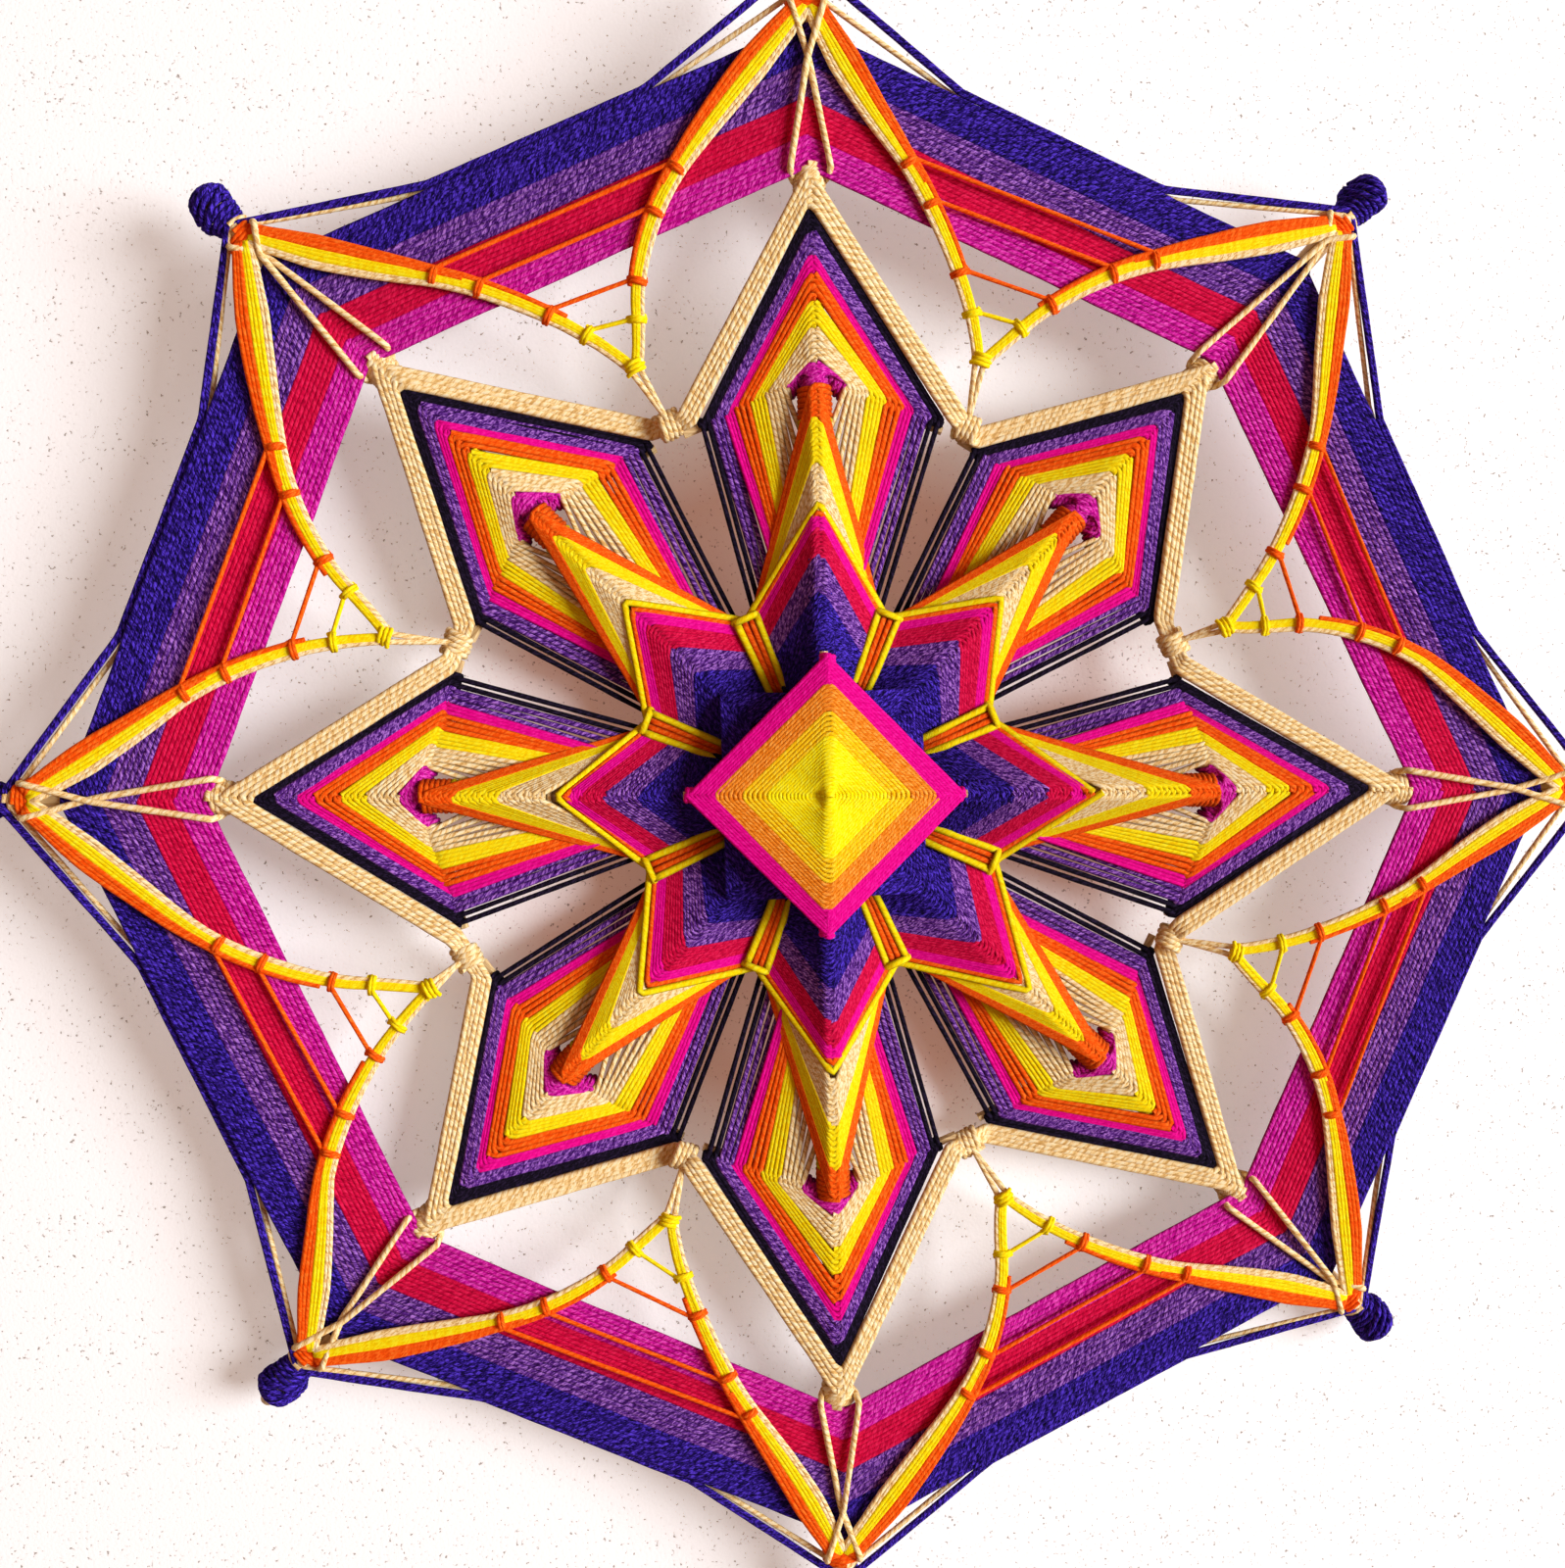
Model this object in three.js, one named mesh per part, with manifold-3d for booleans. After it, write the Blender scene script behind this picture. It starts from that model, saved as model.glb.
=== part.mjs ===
// Ojo de dios: yarn petals, a woven star and a raised eye on four crossed rods, for hanging on a wall.
// Millimetres. X is right, Z is up, the front faces -Y and the wall is the plane Y = 0.
import * as THREE from 'three';
import { mergeVertices } from 'three/addons/utils/BufferGeometryUtils.js';
import Module from 'manifold-3d';

const wasm = await Module();
wasm.setup();

// Sticks
const rodDiameter = 5;
const rodStub = 1.5; // bare rod beyond its knob
const rodPoint = 1.6; // length of the rod's tapered end
const rodSides = 10;
const rodAngles = [0.2, 47.5, 91.5, 136.2]; // level, rising, upright and falling rod, as lashed by hand
const crossStickDiameter = 2.2;
const crossStickReach = 34.1; // from the rod to the stick's end
const crossStickEnds = 87.5; // how far out along the rods the sticks' ends are drawn by the border
const eyeStickDiameter = 2;
const eyeStickStub = 1.2; // bare stick beyond the eye's corners

// Yarn
const clearance = 0.3; // between a stick and what lies on it
const yarnThickness = 0.9; // through the weave
const turnWidth = 0.95; // across one turn of a petal, the star or the eye
const turnGap = 0.46; // between yarns that pass over each other

// Petals, each woven on a rod and its cross-stick
const petalCrossing = 98; // hub to cross-stick
const petalShifts = [1, -3.5, 2.5, -0.5, -0.5, -4, 2, 0.5]; // along each rod, as set by hand
const petalTurns = 9;
const petalTurnStep = 2.73; // along the cross-stick
const petalFirstArm = 7; // first turn, from the rod along the cross-stick
const petalFirstTip = 6.5; // first turn, from the crossing along the rod
const petalTipRatio = 1.2; // outward growth for each millimetre along the cross-stick
const petalInnerLead = 13; // first turn's inner end, from the crossing to the hub
const petalInnerRatio = 2.72; // inward growth for each millimetre along the cross-stick
const petalMiddleRise = 1.6; // extra height of the first turn over the rod

// Tan border round the petals
const borderTurns = 3;
const borderTipStep = 2.7; // along the rod
const borderTipLead = 3.3; // from the last petal turn along the rod
const borderArmLead = 2.9; // from the last petal turn along the cross-stick
const borderShoulderStep = 1.9; // outward at the shoulders
const borderShoulderSpread = 0.6; // sideways at the shoulders
const borderWidth = 0.9;

// Star
const starFirstTip = 19;
const starTurnStep = 3.5; // along the rods
const starRootShare = 0.9; // valley radius over tip radius near the hub
const starValleyBase = 11;
const starValleyRatio = 0.48; // how slowly the valleys follow the tips
const starFrontLift = 0.35; // height of the star over the front rods
const starRearLift = 0.95; // height of the star over the rear rods
const starHubRise = 0.9; // extra height of the first turn
const stripInner = 25; // inner end of the strips along the valleys
const stripHalfWidth = 1.6;
const stripInnerRise = 1.5; // over the valley's yarn
const stripOuterRise = 0.8;
const coneLead = 4.2; // first cone turn, from the star's outline along the rods
const coneTurnStep = 4.6;
const coneValleyLead = 2.2;
const coneValleyStep = 1.9;

// Eye
const eyeFirstTurn = 1.6; // half diagonal
const eyeTurnStep = 2.1;
const eyeRise = 7; // height of the middle over the corners

// Rim
const rimLead = 3.6; // from the border's last tip along the rods
const rimTurnStep = 1.6;
const rimTurnWidth = 1;
const rimEdgeLead = 1.6; // edge strand, from the last turn along the rods
const rimEdgeTouch = 0.3; // share of a side where the edge strand meets the rim
const rimTanTouch = 0.2;
const edgeWidth = 1;

// Arcs from the rod tips to the gaps between the petals
const arcLead = 4.2; // tan arc, from the last rim turn along the rods
const arcSpacing = 4.4; // between the colours along the rods
const arcBow = 29; // sideways reach of the yellow arc's bend
const arcBendStep = 2.4; // between the colours at the bend
const arcTail = 1.8; // tan arc's end, from the border's bridge
const arcJunction = 6.7; // yellow arc's end, from the tan arc's end
const arcOrangeEnd = 5; // orange curve's end, from the yellow arc's end
const arcWidths = { tan: 1.3, yellow: 2, orange: 1.8 };
const arcThreadWidth = 1;
const arcSteps = 6;
const orangeThreads = [0.45, 0.55]; // along the orange arcs
const orangeBridge = 0.75;
const yellowThread = 0.8;

// Knobs and ties at the rod tips
const knobLead = 2.3; // from the orange arc along the rod
const knobLength = 6;
const knobDiameter = 10.8;
const knobSides = 8;
const tieRadius = 0.45;
const tieSpread = 4;
const tieKnotSpread = 4.9;

// Hub lashing
const lashingTurns = 3;
const lashingReach = 12.5;
const lashingStep = 1.4;
const lashingRadius = 0.45;

const colors = {
  bamboo: 0xd9b77e,
  navy: 0x1d1568,
  purple: 0x6a3a93,
  crimson: 0xd20a3c,
  magenta: 0xf0069a,
  orange: 0xff5a06,
  yellow: 0xffd500,
  gold: 0xf2b705,
  amber: 0xf98a12,
  tan: 0xecd08f,
  black: 0x14101c,
};

// Depths, measured forward from the wall
const rearRodDepth = Math.max(rodDiameter / 2 + clearance + crossStickDiameter, knobDiameter / 2);
const frontRodDepth = rearRodDepth + rodDiameter + clearance;
const ridgeRise = rodDiameter / 2 + clearance + yarnThickness / 2; // rod axis to the yarn lying on it
const crossStickDrop = rodDiameter / 2 + clearance + crossStickDiameter / 2;
const armRise = crossStickDiameter / 2 + clearance + yarnThickness / 2 - crossStickDrop;
const overpass = yarnThickness + turnGap; // between yarns lying one over the other
const arcLift = overpass + clearance;
const starValleyDepth = frontRodDepth + armRise + 0.2;

const spokeNames = [
  'right',
  'upper_right',
  'top',
  'upper_left',
  'left',
  'lower_left',
  'bottom',
  'lower_right',
];
const spokes = spokeNames.map((name, index) => {
  const isFront = index % 2 === 0;
  const axis = isFront ? frontRodDepth : rearRodDepth;
  const crossing = petalCrossing + petalShifts[index];
  return {
    name,
    crossing,
    sweep: Math.asin((crossing - crossStickEnds) / crossStickReach),
    angle: THREE.MathUtils.degToRad(rodAngles[index % 4] + (index < 4 ? 0 : 180)),
    axis,
    ridge: axis + ridgeRise,
    arm: axis + armRise,
    isFront,
  };
});

function spokeAt(index) {
  return spokes[(index + spokes.length) % spokes.length];
}

// Half of the angle from a spoke to its neighbour on one side, 1 for the left-hand side and -1 for the right
function halfSector(index, side) {
  const turn = spokeAt(index + side).angle - spokeAt(index).angle;
  const wrapped = THREE.MathUtils.euclideanModulo(turn * side, 2 * Math.PI);
  return wrapped / 2;
}

function polar(angle, radius, across, depth) {
  const x = radius * Math.cos(angle) - across * Math.sin(angle);
  const z = radius * Math.sin(angle) + across * Math.cos(angle);
  return new THREE.Vector3(x, -depth, z);
}

function onSpoke(spoke, along, across, depth) {
  return polar(spoke.angle, along, across, depth);
}

function closedGeometry(vertices, triangles) {
  const geometry = new THREE.BufferGeometry();
  geometry.setAttribute('position', new THREE.Float32BufferAttribute(vertices, 3));
  geometry.setIndex(triangles);
  geometry.computeVertexNormals();
  return geometry;
}

// Joins rings of corner points into one closed tube
function loft(rings) {
  const sides = rings[0].length;
  const vertices = rings.flat().flatMap((corner) => corner.toArray());
  const triangles = [];
  for (let ring = 0; ring < rings.length - 1; ring++) {
    for (let side = 0; side < sides; side++) {
      const a = ring * sides + side;
      const b = ring * sides + ((side + 1) % sides);
      triangles.push(a, b, b + sides, a, b + sides, a + sides);
    }
  }
  const last = (rings.length - 1) * sides;
  for (let side = 1; side < sides - 1; side++) {
    triangles.push(0, side + 1, side);
    triangles.push(last, last + side, last + side + 1);
  }
  return closedGeometry(vertices, triangles);
}

const forward = new THREE.Vector3(0, -1, 0);

// Sideways direction at each point of a path, stretched at the corners so that the yarn keeps its width
function sideways(points, isRing) {
  const count = points.length;
  const across = (from, to) => new THREE.Vector3().subVectors(to, from).cross(forward).normalize();
  return points.map((point, index) => {
    const before = isRing ? points[(index + count - 1) % count] : points[Math.max(index - 1, 0)];
    const after = isRing ? points[(index + 1) % count] : points[Math.min(index + 1, count - 1)];
    const incoming = before === point ? across(point, after) : across(before, point);
    const outgoing = after === point ? incoming : across(point, after);
    const middle = incoming.clone().add(outgoing).normalize();
    return middle.divideScalar(middle.dot(incoming));
  });
}

function ribbonRings(points, width, isRing = false) {
  const half = new THREE.Vector3().copy(forward).multiplyScalar(yarnThickness / 2);
  const sides = sideways(points, isRing);
  return points.map((point, index) => {
    const reach = sides[index].clone().multiplyScalar(width / 2);
    return [
      point.clone().sub(reach).sub(half),
      point.clone().sub(reach).add(half),
      point.clone().add(reach).add(half),
      point.clone().add(reach).sub(half),
    ];
  });
}

function ribbon(points, width) {
  return loft(ribbonRings(points, width));
}

// A ribbon that runs back into its own start
function ribbonRing(points, width) {
  const rings = ribbonRings(points, width, true);
  const count = rings.length;
  const vertices = rings.flat().flatMap((corner) => corner.toArray());
  const triangles = [];
  for (let ring = 0; ring < count; ring++) {
    for (let side = 0; side < 4; side++) {
      const next = ((ring + 1) % count) * 4;
      const a = ring * 4 + side;
      const b = ring * 4 + ((side + 1) % 4);
      const c = next + ((side + 1) % 4);
      const d = next + side;
      triangles.push(a, b, c, a, c, d);
    }
  }
  return closedGeometry(vertices, triangles);
}

// A round strand or stick along a path that may turn any way
function strand(points, radius, sides) {
  const tangents = points.map((point, index) => {
    const before = points[Math.max(index - 1, 0)];
    const after = points[Math.min(index + 1, points.length - 1)];
    return new THREE.Vector3().subVectors(after, before).normalize();
  });
  const start = Math.abs(tangents[0].y) < 0.9 ? forward : new THREE.Vector3(1, 0, 0);
  let normal = new THREE.Vector3().crossVectors(start, tangents[0]).normalize();
  const rings = points.map((point, index) => {
    const tangent = tangents[index];
    normal = normal.clone().addScaledVector(tangent, -normal.dot(tangent)).normalize();
    const binormal = new THREE.Vector3().crossVectors(tangent, normal);
    return Array.from({ length: sides }, (_, side) => {
      const turn = (2 * Math.PI * side) / sides;
      return point
        .clone()
        .addScaledVector(normal, radius * Math.cos(turn))
        .addScaledVector(binormal, radius * Math.sin(turn));
    });
  });
  return loft(rings);
}

function toSolid(geometry) {
  const bare = new THREE.BufferGeometry();
  bare.setAttribute('position', geometry.attributes.position);
  bare.setIndex(geometry.index);
  const merged = mergeVertices(bare, 1e-4);
  const vertProperties = new Float32Array(merged.attributes.position.array);
  const triVerts = new Uint32Array(merged.index.array);
  return new wasm.Manifold(new wasm.Mesh({ numProp: 3, vertProperties, triVerts }));
}

function fromSolid(solid) {
  const mesh = solid.getMesh();
  return closedGeometry(Array.from(mesh.vertProperties), Array.from(mesh.triVerts));
}

function fuse(geometries) {
  const solids = geometries.map(toSolid);
  return fromSolid(solids.reduce((whole, part) => whole.add(part)));
}

// Least gap from one turn of a winding to the next, from edge points to edge lines
function leastSelfGap(points, width, pointsPerTurn) {
  const sides = sideways(points, false);
  const edges = [-1, 1].map((sign) => {
    return points.map((point, index) => point.clone().addScaledVector(sides[index], (sign * width) / 2));
  });
  const nearest = new THREE.Vector3();
  let least = Infinity;
  const far = Math.max(2, Math.floor(pointsPerTurn / 2));
  for (const samples of edges) {
    for (let index = 0; index < points.length - 1; index++) {
      for (const share of [0, 0.25, 0.5, 0.75]) {
        const sample = samples[index].clone().lerp(samples[index + 1], share);
        for (const lines of edges) {
          for (let other = index + far; other < points.length - 1; other++) {
            const line = new THREE.Line3(lines[other], lines[other + 1]);
            line.closestPointToPoint(sample, true, nearest);
            least = Math.min(least, nearest.distanceTo(sample));
          }
        }
      }
    }
  }
  return least;
}

const ojo = new THREE.Group();
const selfGaps = [];

function yarnMaterial(color) {
  return new THREE.MeshStandardMaterial({ color, roughness: 0.92, metalness: 0 });
}

function woodMaterial() {
  return new THREE.MeshStandardMaterial({ color: colors.bamboo, roughness: 0.6, metalness: 0 });
}

function addPiece(name, geometry, material) {
  const mesh = new THREE.Mesh(geometry, material);
  mesh.name = name;
  ojo.add(mesh);
}

function addWinding(name, points, width, pointsPerTurn, color) {
  addPiece(name, ribbon(points, width), yarnMaterial(color));
  selfGaps.push([name, leastSelfGap(points, width, pointsPerTurn)]);
}

// Radii along the rods, from the petals outward
const petalGrowth = petalTurns * petalTurnStep;
const petalLastArm = petalFirstArm + petalGrowth;
const petalLastTip = petalCrossing + petalFirstTip + petalGrowth * petalTipRatio;
const petalLastInner = petalCrossing - petalInnerLead - petalGrowth * petalInnerRatio;
const borderFirstTip = petalLastTip + borderTipLead;
const borderLastTip = borderFirstTip + borderTurns * borderTipStep;
const rimFirst = borderLastTip + rimLead;
const rimBands = [
  { name: 'rim_magenta', turns: 5, color: colors.magenta },
  { name: 'rim_crimson', turns: 5, color: colors.crimson },
  { name: 'rim_purple', turns: 5, color: colors.purple },
  { name: 'rim_navy', turns: 5, color: colors.navy },
];
const rimTurns = rimBands.reduce((sum, band) => sum + band.turns, 0);
const rimLast = rimFirst + rimTurns * rimTurnStep;
const arcStarts = {
  tan: rimLast + arcLead,
  yellow: rimLast + arcLead + arcSpacing,
  orange: rimLast + arcLead + 2 * arcSpacing,
};
const knobStart = arcStarts.orange + knobLead;
const rodReach = knobStart + knobLength + rodStub;

// Rods: round, tapered at both ends, and half-lapped where the two of a cross meet
function rodGeometry() {
  const radius = rodDiameter / 2;
  const profile = [
    new THREE.Vector2(0, -rodReach),
    new THREE.Vector2(radius * 0.5, -rodReach),
    new THREE.Vector2(radius, -rodReach + rodPoint),
    new THREE.Vector2(radius, rodReach - rodPoint),
    new THREE.Vector2(radius * 0.5, rodReach),
    new THREE.Vector2(0, rodReach),
  ];
  return new THREE.LatheGeometry(profile, rodSides);
}

function addRod(name, index, keepsFront) {
  const spoke = spokes[index];
  const crossing = spokes[(index + 2) % 4].angle - spoke.angle;
  const lapLength = rodDiameter / Math.abs(Math.sin(crossing))
    + rodDiameter * Math.abs(1 / Math.tan(crossing)) + 2 * clearance;
  const lap = new THREE.BoxGeometry(rodDiameter * 2, lapLength, rodDiameter);
  const lapShift = (keepsFront ? -1 : 1) * (rodDiameter / 2 - clearance / 2);
  lap.translate(0, 0, lapShift);
  const place = new THREE.Matrix4().makeBasis(
    new THREE.Vector3(-Math.sin(spoke.angle), 0, Math.cos(spoke.angle)).negate(),
    new THREE.Vector3(Math.cos(spoke.angle), 0, Math.sin(spoke.angle)),
    forward,
  );
  place.setPosition(0, -spoke.axis, 0);
  const solid = toSolid(rodGeometry()).subtract(toSolid(lap));
  const geometry = fromSolid(solid);
  geometry.applyMatrix4(place);
  addPiece(name, geometry, woodMaterial());
}

addRod('level_rod', 0, false);
addRod('rising_rod', 1, true);
addRod('upright_rod', 2, true);
addRod('falling_rod', 3, false);

// Hub lashing: an oblong coil through the gaps between the level and the rising rod
function lashingPoints() {
  const angle = spokes[0].angle + halfSector(0, 1);
  const front = frontRodDepth + ridgeRise;
  const back = rearRodDepth - ridgeRise;
  const bulge = 1.2;
  const corners = [
    [lashingReach - bulge, front],
    [lashingReach, front - bulge],
    [lashingReach, back + bulge],
    [lashingReach - bulge, back],
    [bulge - lashingReach, back],
    [-lashingReach, back + bulge],
    [-lashingReach, front - bulge],
    [bulge - lashingReach, front],
  ];
  const points = [];
  const total = lashingTurns * corners.length;
  for (let step = 0; step <= total; step++) {
    const [along, depth] = corners[step % corners.length];
    const across = (step / corners.length - lashingTurns / 2) * lashingStep;
    points.push(polar(angle, along, across, depth));
  }
  return points;
}

addPiece('hub_lashing', strand(lashingPoints(), lashingRadius, 5), yarnMaterial(colors.navy));
selfGaps.push(['hub_lashing', leastSelfGap(lashingPoints(), lashingRadius * 2, 8)]);

// Cross-sticks: one behind each rod, both halves leaning back to the hub
function armPoint(spoke, reach, side, depth) {
  const along = spoke.crossing - reach * Math.sin(spoke.sweep);
  return onSpoke(spoke, along, side * reach * Math.cos(spoke.sweep), depth);
}

for (const spoke of spokes) {
  const depth = spoke.axis - crossStickDrop;
  const reaches = [crossStickReach, crossStickReach * 0.5, 3];
  const left = reaches.map((reach) => armPoint(spoke, reach, 1, depth));
  const right = reaches.map((reach) => armPoint(spoke, reach, -1, depth)).reverse();
  const bend = onSpoke(spoke, spoke.crossing - 0.5, 0, depth);
  const geometry = strand([...left, bend, ...right], crossStickDiameter / 2, 6);
  addPiece(`petal_stick_${spoke.name}`, geometry, woodMaterial());
}

// Petals: one winding each, from the crossing outward, with its colours in bands
const petalBands = [
  { until: 0.09, color: colors.magenta },
  { until: 0.26, color: colors.tan },
  { until: 0.42, color: colors.yellow },
  { until: 0.58, color: colors.orange },
  { until: 0.71, color: colors.magenta },
  { until: 0.85, color: colors.purple },
  { until: 1, color: colors.black },
];

function petalPoints(spoke) {
  const points = [];
  const firstTip = spoke.crossing + petalFirstTip;
  const firstInner = spoke.crossing - petalInnerLead;
  for (let step = 0; step <= petalTurns * 4; step++) {
    const share = step / 4 / petalTurns;
    const arm = petalFirstArm + share * petalGrowth;
    const corner = step % 4;
    if (corner === 0) {
      const tip = THREE.MathUtils.lerp(firstTip, petalLastTip, share);
      const rise = petalMiddleRise * (1 - share);
      points.push(onSpoke(spoke, tip, 0, spoke.ridge + rise));
    } else if (corner === 2) {
      const inner = THREE.MathUtils.lerp(firstInner, petalLastInner, share);
      points.push(onSpoke(spoke, inner, 0, spoke.axis - ridgeRise));
    } else {
      points.push(armPoint(spoke, arm, corner === 1 ? 1 : -1, spoke.arm));
    }
  }
  return points;
}

function bandColors(pointCount, sides) {
  const values = [];
  for (let point = 0; point < pointCount; point++) {
    const share = point / (pointCount - 1);
    const band = petalBands.find((entry) => share <= entry.until);
    const color = new THREE.Color(band.color);
    for (let side = 0; side < sides; side++) {
      values.push(color.r, color.g, color.b);
    }
  }
  return new THREE.Float32BufferAttribute(values, 3);
}

for (const spoke of spokes) {
  const points = petalPoints(spoke);
  const geometry = ribbon(points, turnWidth);
  geometry.setAttribute('color', bandColors(points.length, 4));
  const material = yarnMaterial(0xffffff);
  material.vertexColors = true;
  addPiece(`petal_winding_${spoke.name}`, geometry, material);
  selfGaps.push([`petal_winding_${spoke.name}`, leastSelfGap(points, turnWidth, 4)]);
}

// Tan border: round every petal's tip and across from shoulder to shoulder
function borderShoulder(spoke, side, turn) {
  const reach = petalLastArm + borderArmLead;
  const along = spoke.crossing - reach * Math.sin(spoke.sweep) + borderWidth + turn * borderShoulderStep;
  const across = reach * Math.cos(spoke.sweep) + turn * borderShoulderSpread;
  return onSpoke(spoke, along, side * across, spoke.arm);
}

const borderPoints = [];
for (let step = 0; step < borderTurns * spokes.length; step++) {
  const turn = step / spokes.length;
  const spoke = spokeAt(step);
  borderPoints.push(onSpoke(spoke, borderFirstTip + turn * borderTipStep, 0, spoke.ridge));
  borderPoints.push(borderShoulder(spoke, 1, turn));
  borderPoints.push(borderShoulder(spokeAt(step + 1), -1, turn));
}
addWinding('tan_border', borderPoints, borderWidth, 3 * spokes.length, colors.tan);

// Star: turns that run over all the rods and are drawn in between them
function starTip(index, radius) {
  const spoke = spokeAt(index);
  const share = THREE.MathUtils.clamp((radius - starFirstTip) / (petalCrossing - starFirstTip), 0, 1);
  const lift = spoke.isFront ? starFrontLift : starRearLift;
  return onSpoke(spoke, radius, 0, spoke.ridge + lift + starHubRise * (1 - share));
}

function valleyPoint(index, radius, across, depth) {
  return polar(spokeAt(index).angle + halfSector(index, 1), radius, across, depth);
}

function starValleyRadius(tip) {
  return Math.min(starRootShare * tip, starValleyBase + starValleyRatio * tip);
}

function starPoints(firstTurn, turns) {
  const points = [];
  for (let step = 0; step < turns * spokes.length; step++) {
    const tip = starFirstTip + (firstTurn + step / spokes.length) * starTurnStep;
    const next = tip + starTurnStep / spokes.length / 2;
    points.push(starTip(step, tip));
    points.push(valleyPoint(step, starValleyRadius(next), 0, starValleyDepth));
  }
  return points;
}

const starBands = [
  { name: 'star_navy', turns: 7, color: colors.navy },
  { name: 'star_purple', turns: 3, color: colors.purple },
  { name: 'star_crimson', turns: 2, color: colors.crimson },
  { name: 'star_magenta', turns: 2, color: colors.magenta },
  { name: 'star_orange', turns: 1, color: colors.orange },
];
let starTurn = 0;
for (const band of starBands) {
  addWinding(band.name, starPoints(starTurn, band.turns), turnWidth, 2 * spokes.length, band.color);
  starTurn += band.turns;
}

// Star outline: at each valley it turns in along a strip over the other colours and comes back out
const outlineTip = starFirstTip + (starTurn + 1) * starTurnStep;
const outlineValley = starValleyRadius(outlineTip);
const innerDepth = starValleyDepth + overpass + stripInnerRise;
const outerDepth = starValleyDepth + overpass + stripOuterRise;
const outlinePoints = [];
for (let index = 0; index < spokes.length; index++) {
  const half = halfSector(index, 1);
  const flare = (outlineTip * Math.cos(half) - outlineValley) / (outlineTip * Math.sin(half));
  const corner = outlineValley + flare * stripHalfWidth;
  outlinePoints.push(starTip(index, outlineTip));
  outlinePoints.push(valleyPoint(index, corner, -stripHalfWidth, outerDepth));
  outlinePoints.push(valleyPoint(index, stripInner, -stripHalfWidth, innerDepth));
  outlinePoints.push(valleyPoint(index, stripInner, stripHalfWidth, innerDepth));
  outlinePoints.push(valleyPoint(index, corner, stripHalfWidth, outerDepth));
}
addWinding('star_yellow', outlinePoints, turnWidth, 5 * spokes.length, colors.yellow);

// Cones: longer turns beyond the star that run out along the rods to the petals' middles
function conePoints(firstTurn, turns) {
  const points = [];
  for (let step = 0; step < turns * spokes.length; step++) {
    const turn = firstTurn + step / spokes.length;
    points.push(starTip(step, outlineTip + coneLead + turn * coneTurnStep));
    const valley = outlineValley + coneValleyLead + turn * coneValleyStep;
    points.push(valleyPoint(step, valley, 0, starValleyDepth));
  }
  return points;
}

addWinding('cone_tan', conePoints(0, 1), turnWidth, 2 * spokes.length, colors.tan);
addWinding('cone_yellow', conePoints(1, 2), turnWidth, 2 * spokes.length, colors.yellow);
addWinding('cone_orange', conePoints(3, 1), turnWidth, 2 * spokes.length, colors.orange);

// Eye: two small crossed sticks on the star's ridges and a diamond wound over them
const eyeBands = [
  { name: 'eye_yellow', turns: 6, color: colors.yellow },
  { name: 'eye_gold', turns: 3, color: colors.gold },
  { name: 'eye_amber', turns: 4, color: colors.amber },
  { name: 'eye_magenta', turns: 2, color: colors.magenta },
];
const eyeTurns = eyeBands.reduce((sum, band) => sum + band.turns, 0);
const eyeReach = eyeFirstTurn + eyeTurns * eyeTurnStep;
const eyeGround = frontRodDepth + ridgeRise + starFrontLift + starHubRise + yarnThickness / 2;
const eyeLevelDepth = eyeGround + clearance + eyeStickDiameter / 2;
const eyeUprightDepth = eyeLevelDepth + eyeStickDiameter + clearance;
const eyeSeat = eyeStickDiameter / 2 + clearance + yarnThickness / 2;

function addEyeStick(name, spoke, depth) {
  const half = eyeReach + eyeStickStub;
  const ends = [onSpoke(spoke, -half, 0, depth), onSpoke(spoke, half, 0, depth)];
  addPiece(name, strand(ends, eyeStickDiameter / 2, 8), woodMaterial());
}

addEyeStick('eye_stick_level', spokes[0], eyeLevelDepth);
addEyeStick('eye_stick_upright', spokes[2], eyeUprightDepth);

function eyePoints(firstTurn, turns) {
  const points = [];
  for (let step = 0; step < turns * 4; step++) {
    const reach = eyeFirstTurn + (firstTurn + step / 4) * eyeTurnStep;
    const rise = eyeRise * (1 - reach / eyeReach);
    const base = step % 2 === 0 ? eyeLevelDepth : eyeUprightDepth;
    points.push(onSpoke(spokes[(step % 4) * 2], reach, 0, base + eyeSeat + rise));
  }
  return points;
}

let eyeTurn = 0;
for (const band of eyeBands) {
  addWinding(band.name, eyePoints(eyeTurn, band.turns), turnWidth, 4, band.color);
  eyeTurn += band.turns;
}

// Rim: a broad eight-sided band wound over all the rods
function rimPoint(index, radius) {
  const spoke = spokeAt(index);
  return onSpoke(spoke, radius, 0, spoke.ridge);
}

let rimTurn = 0;
for (const band of rimBands) {
  const points = [];
  for (let step = 0; step < band.turns * spokes.length; step++) {
    points.push(rimPoint(step, rimFirst + (rimTurn + step / spokes.length) * rimTurnStep));
  }
  addWinding(band.name, points, rimTurnWidth, spokes.length, band.color);
  rimTurn += band.turns;
}

// Point on a rim side between two rods, with a shift in depth
function rimSidePoint(index, radius, share, shift) {
  const point = rimPoint(index, radius).lerp(rimPoint(index + 1, radius), share);
  return point.addScaledVector(forward, shift);
}

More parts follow.
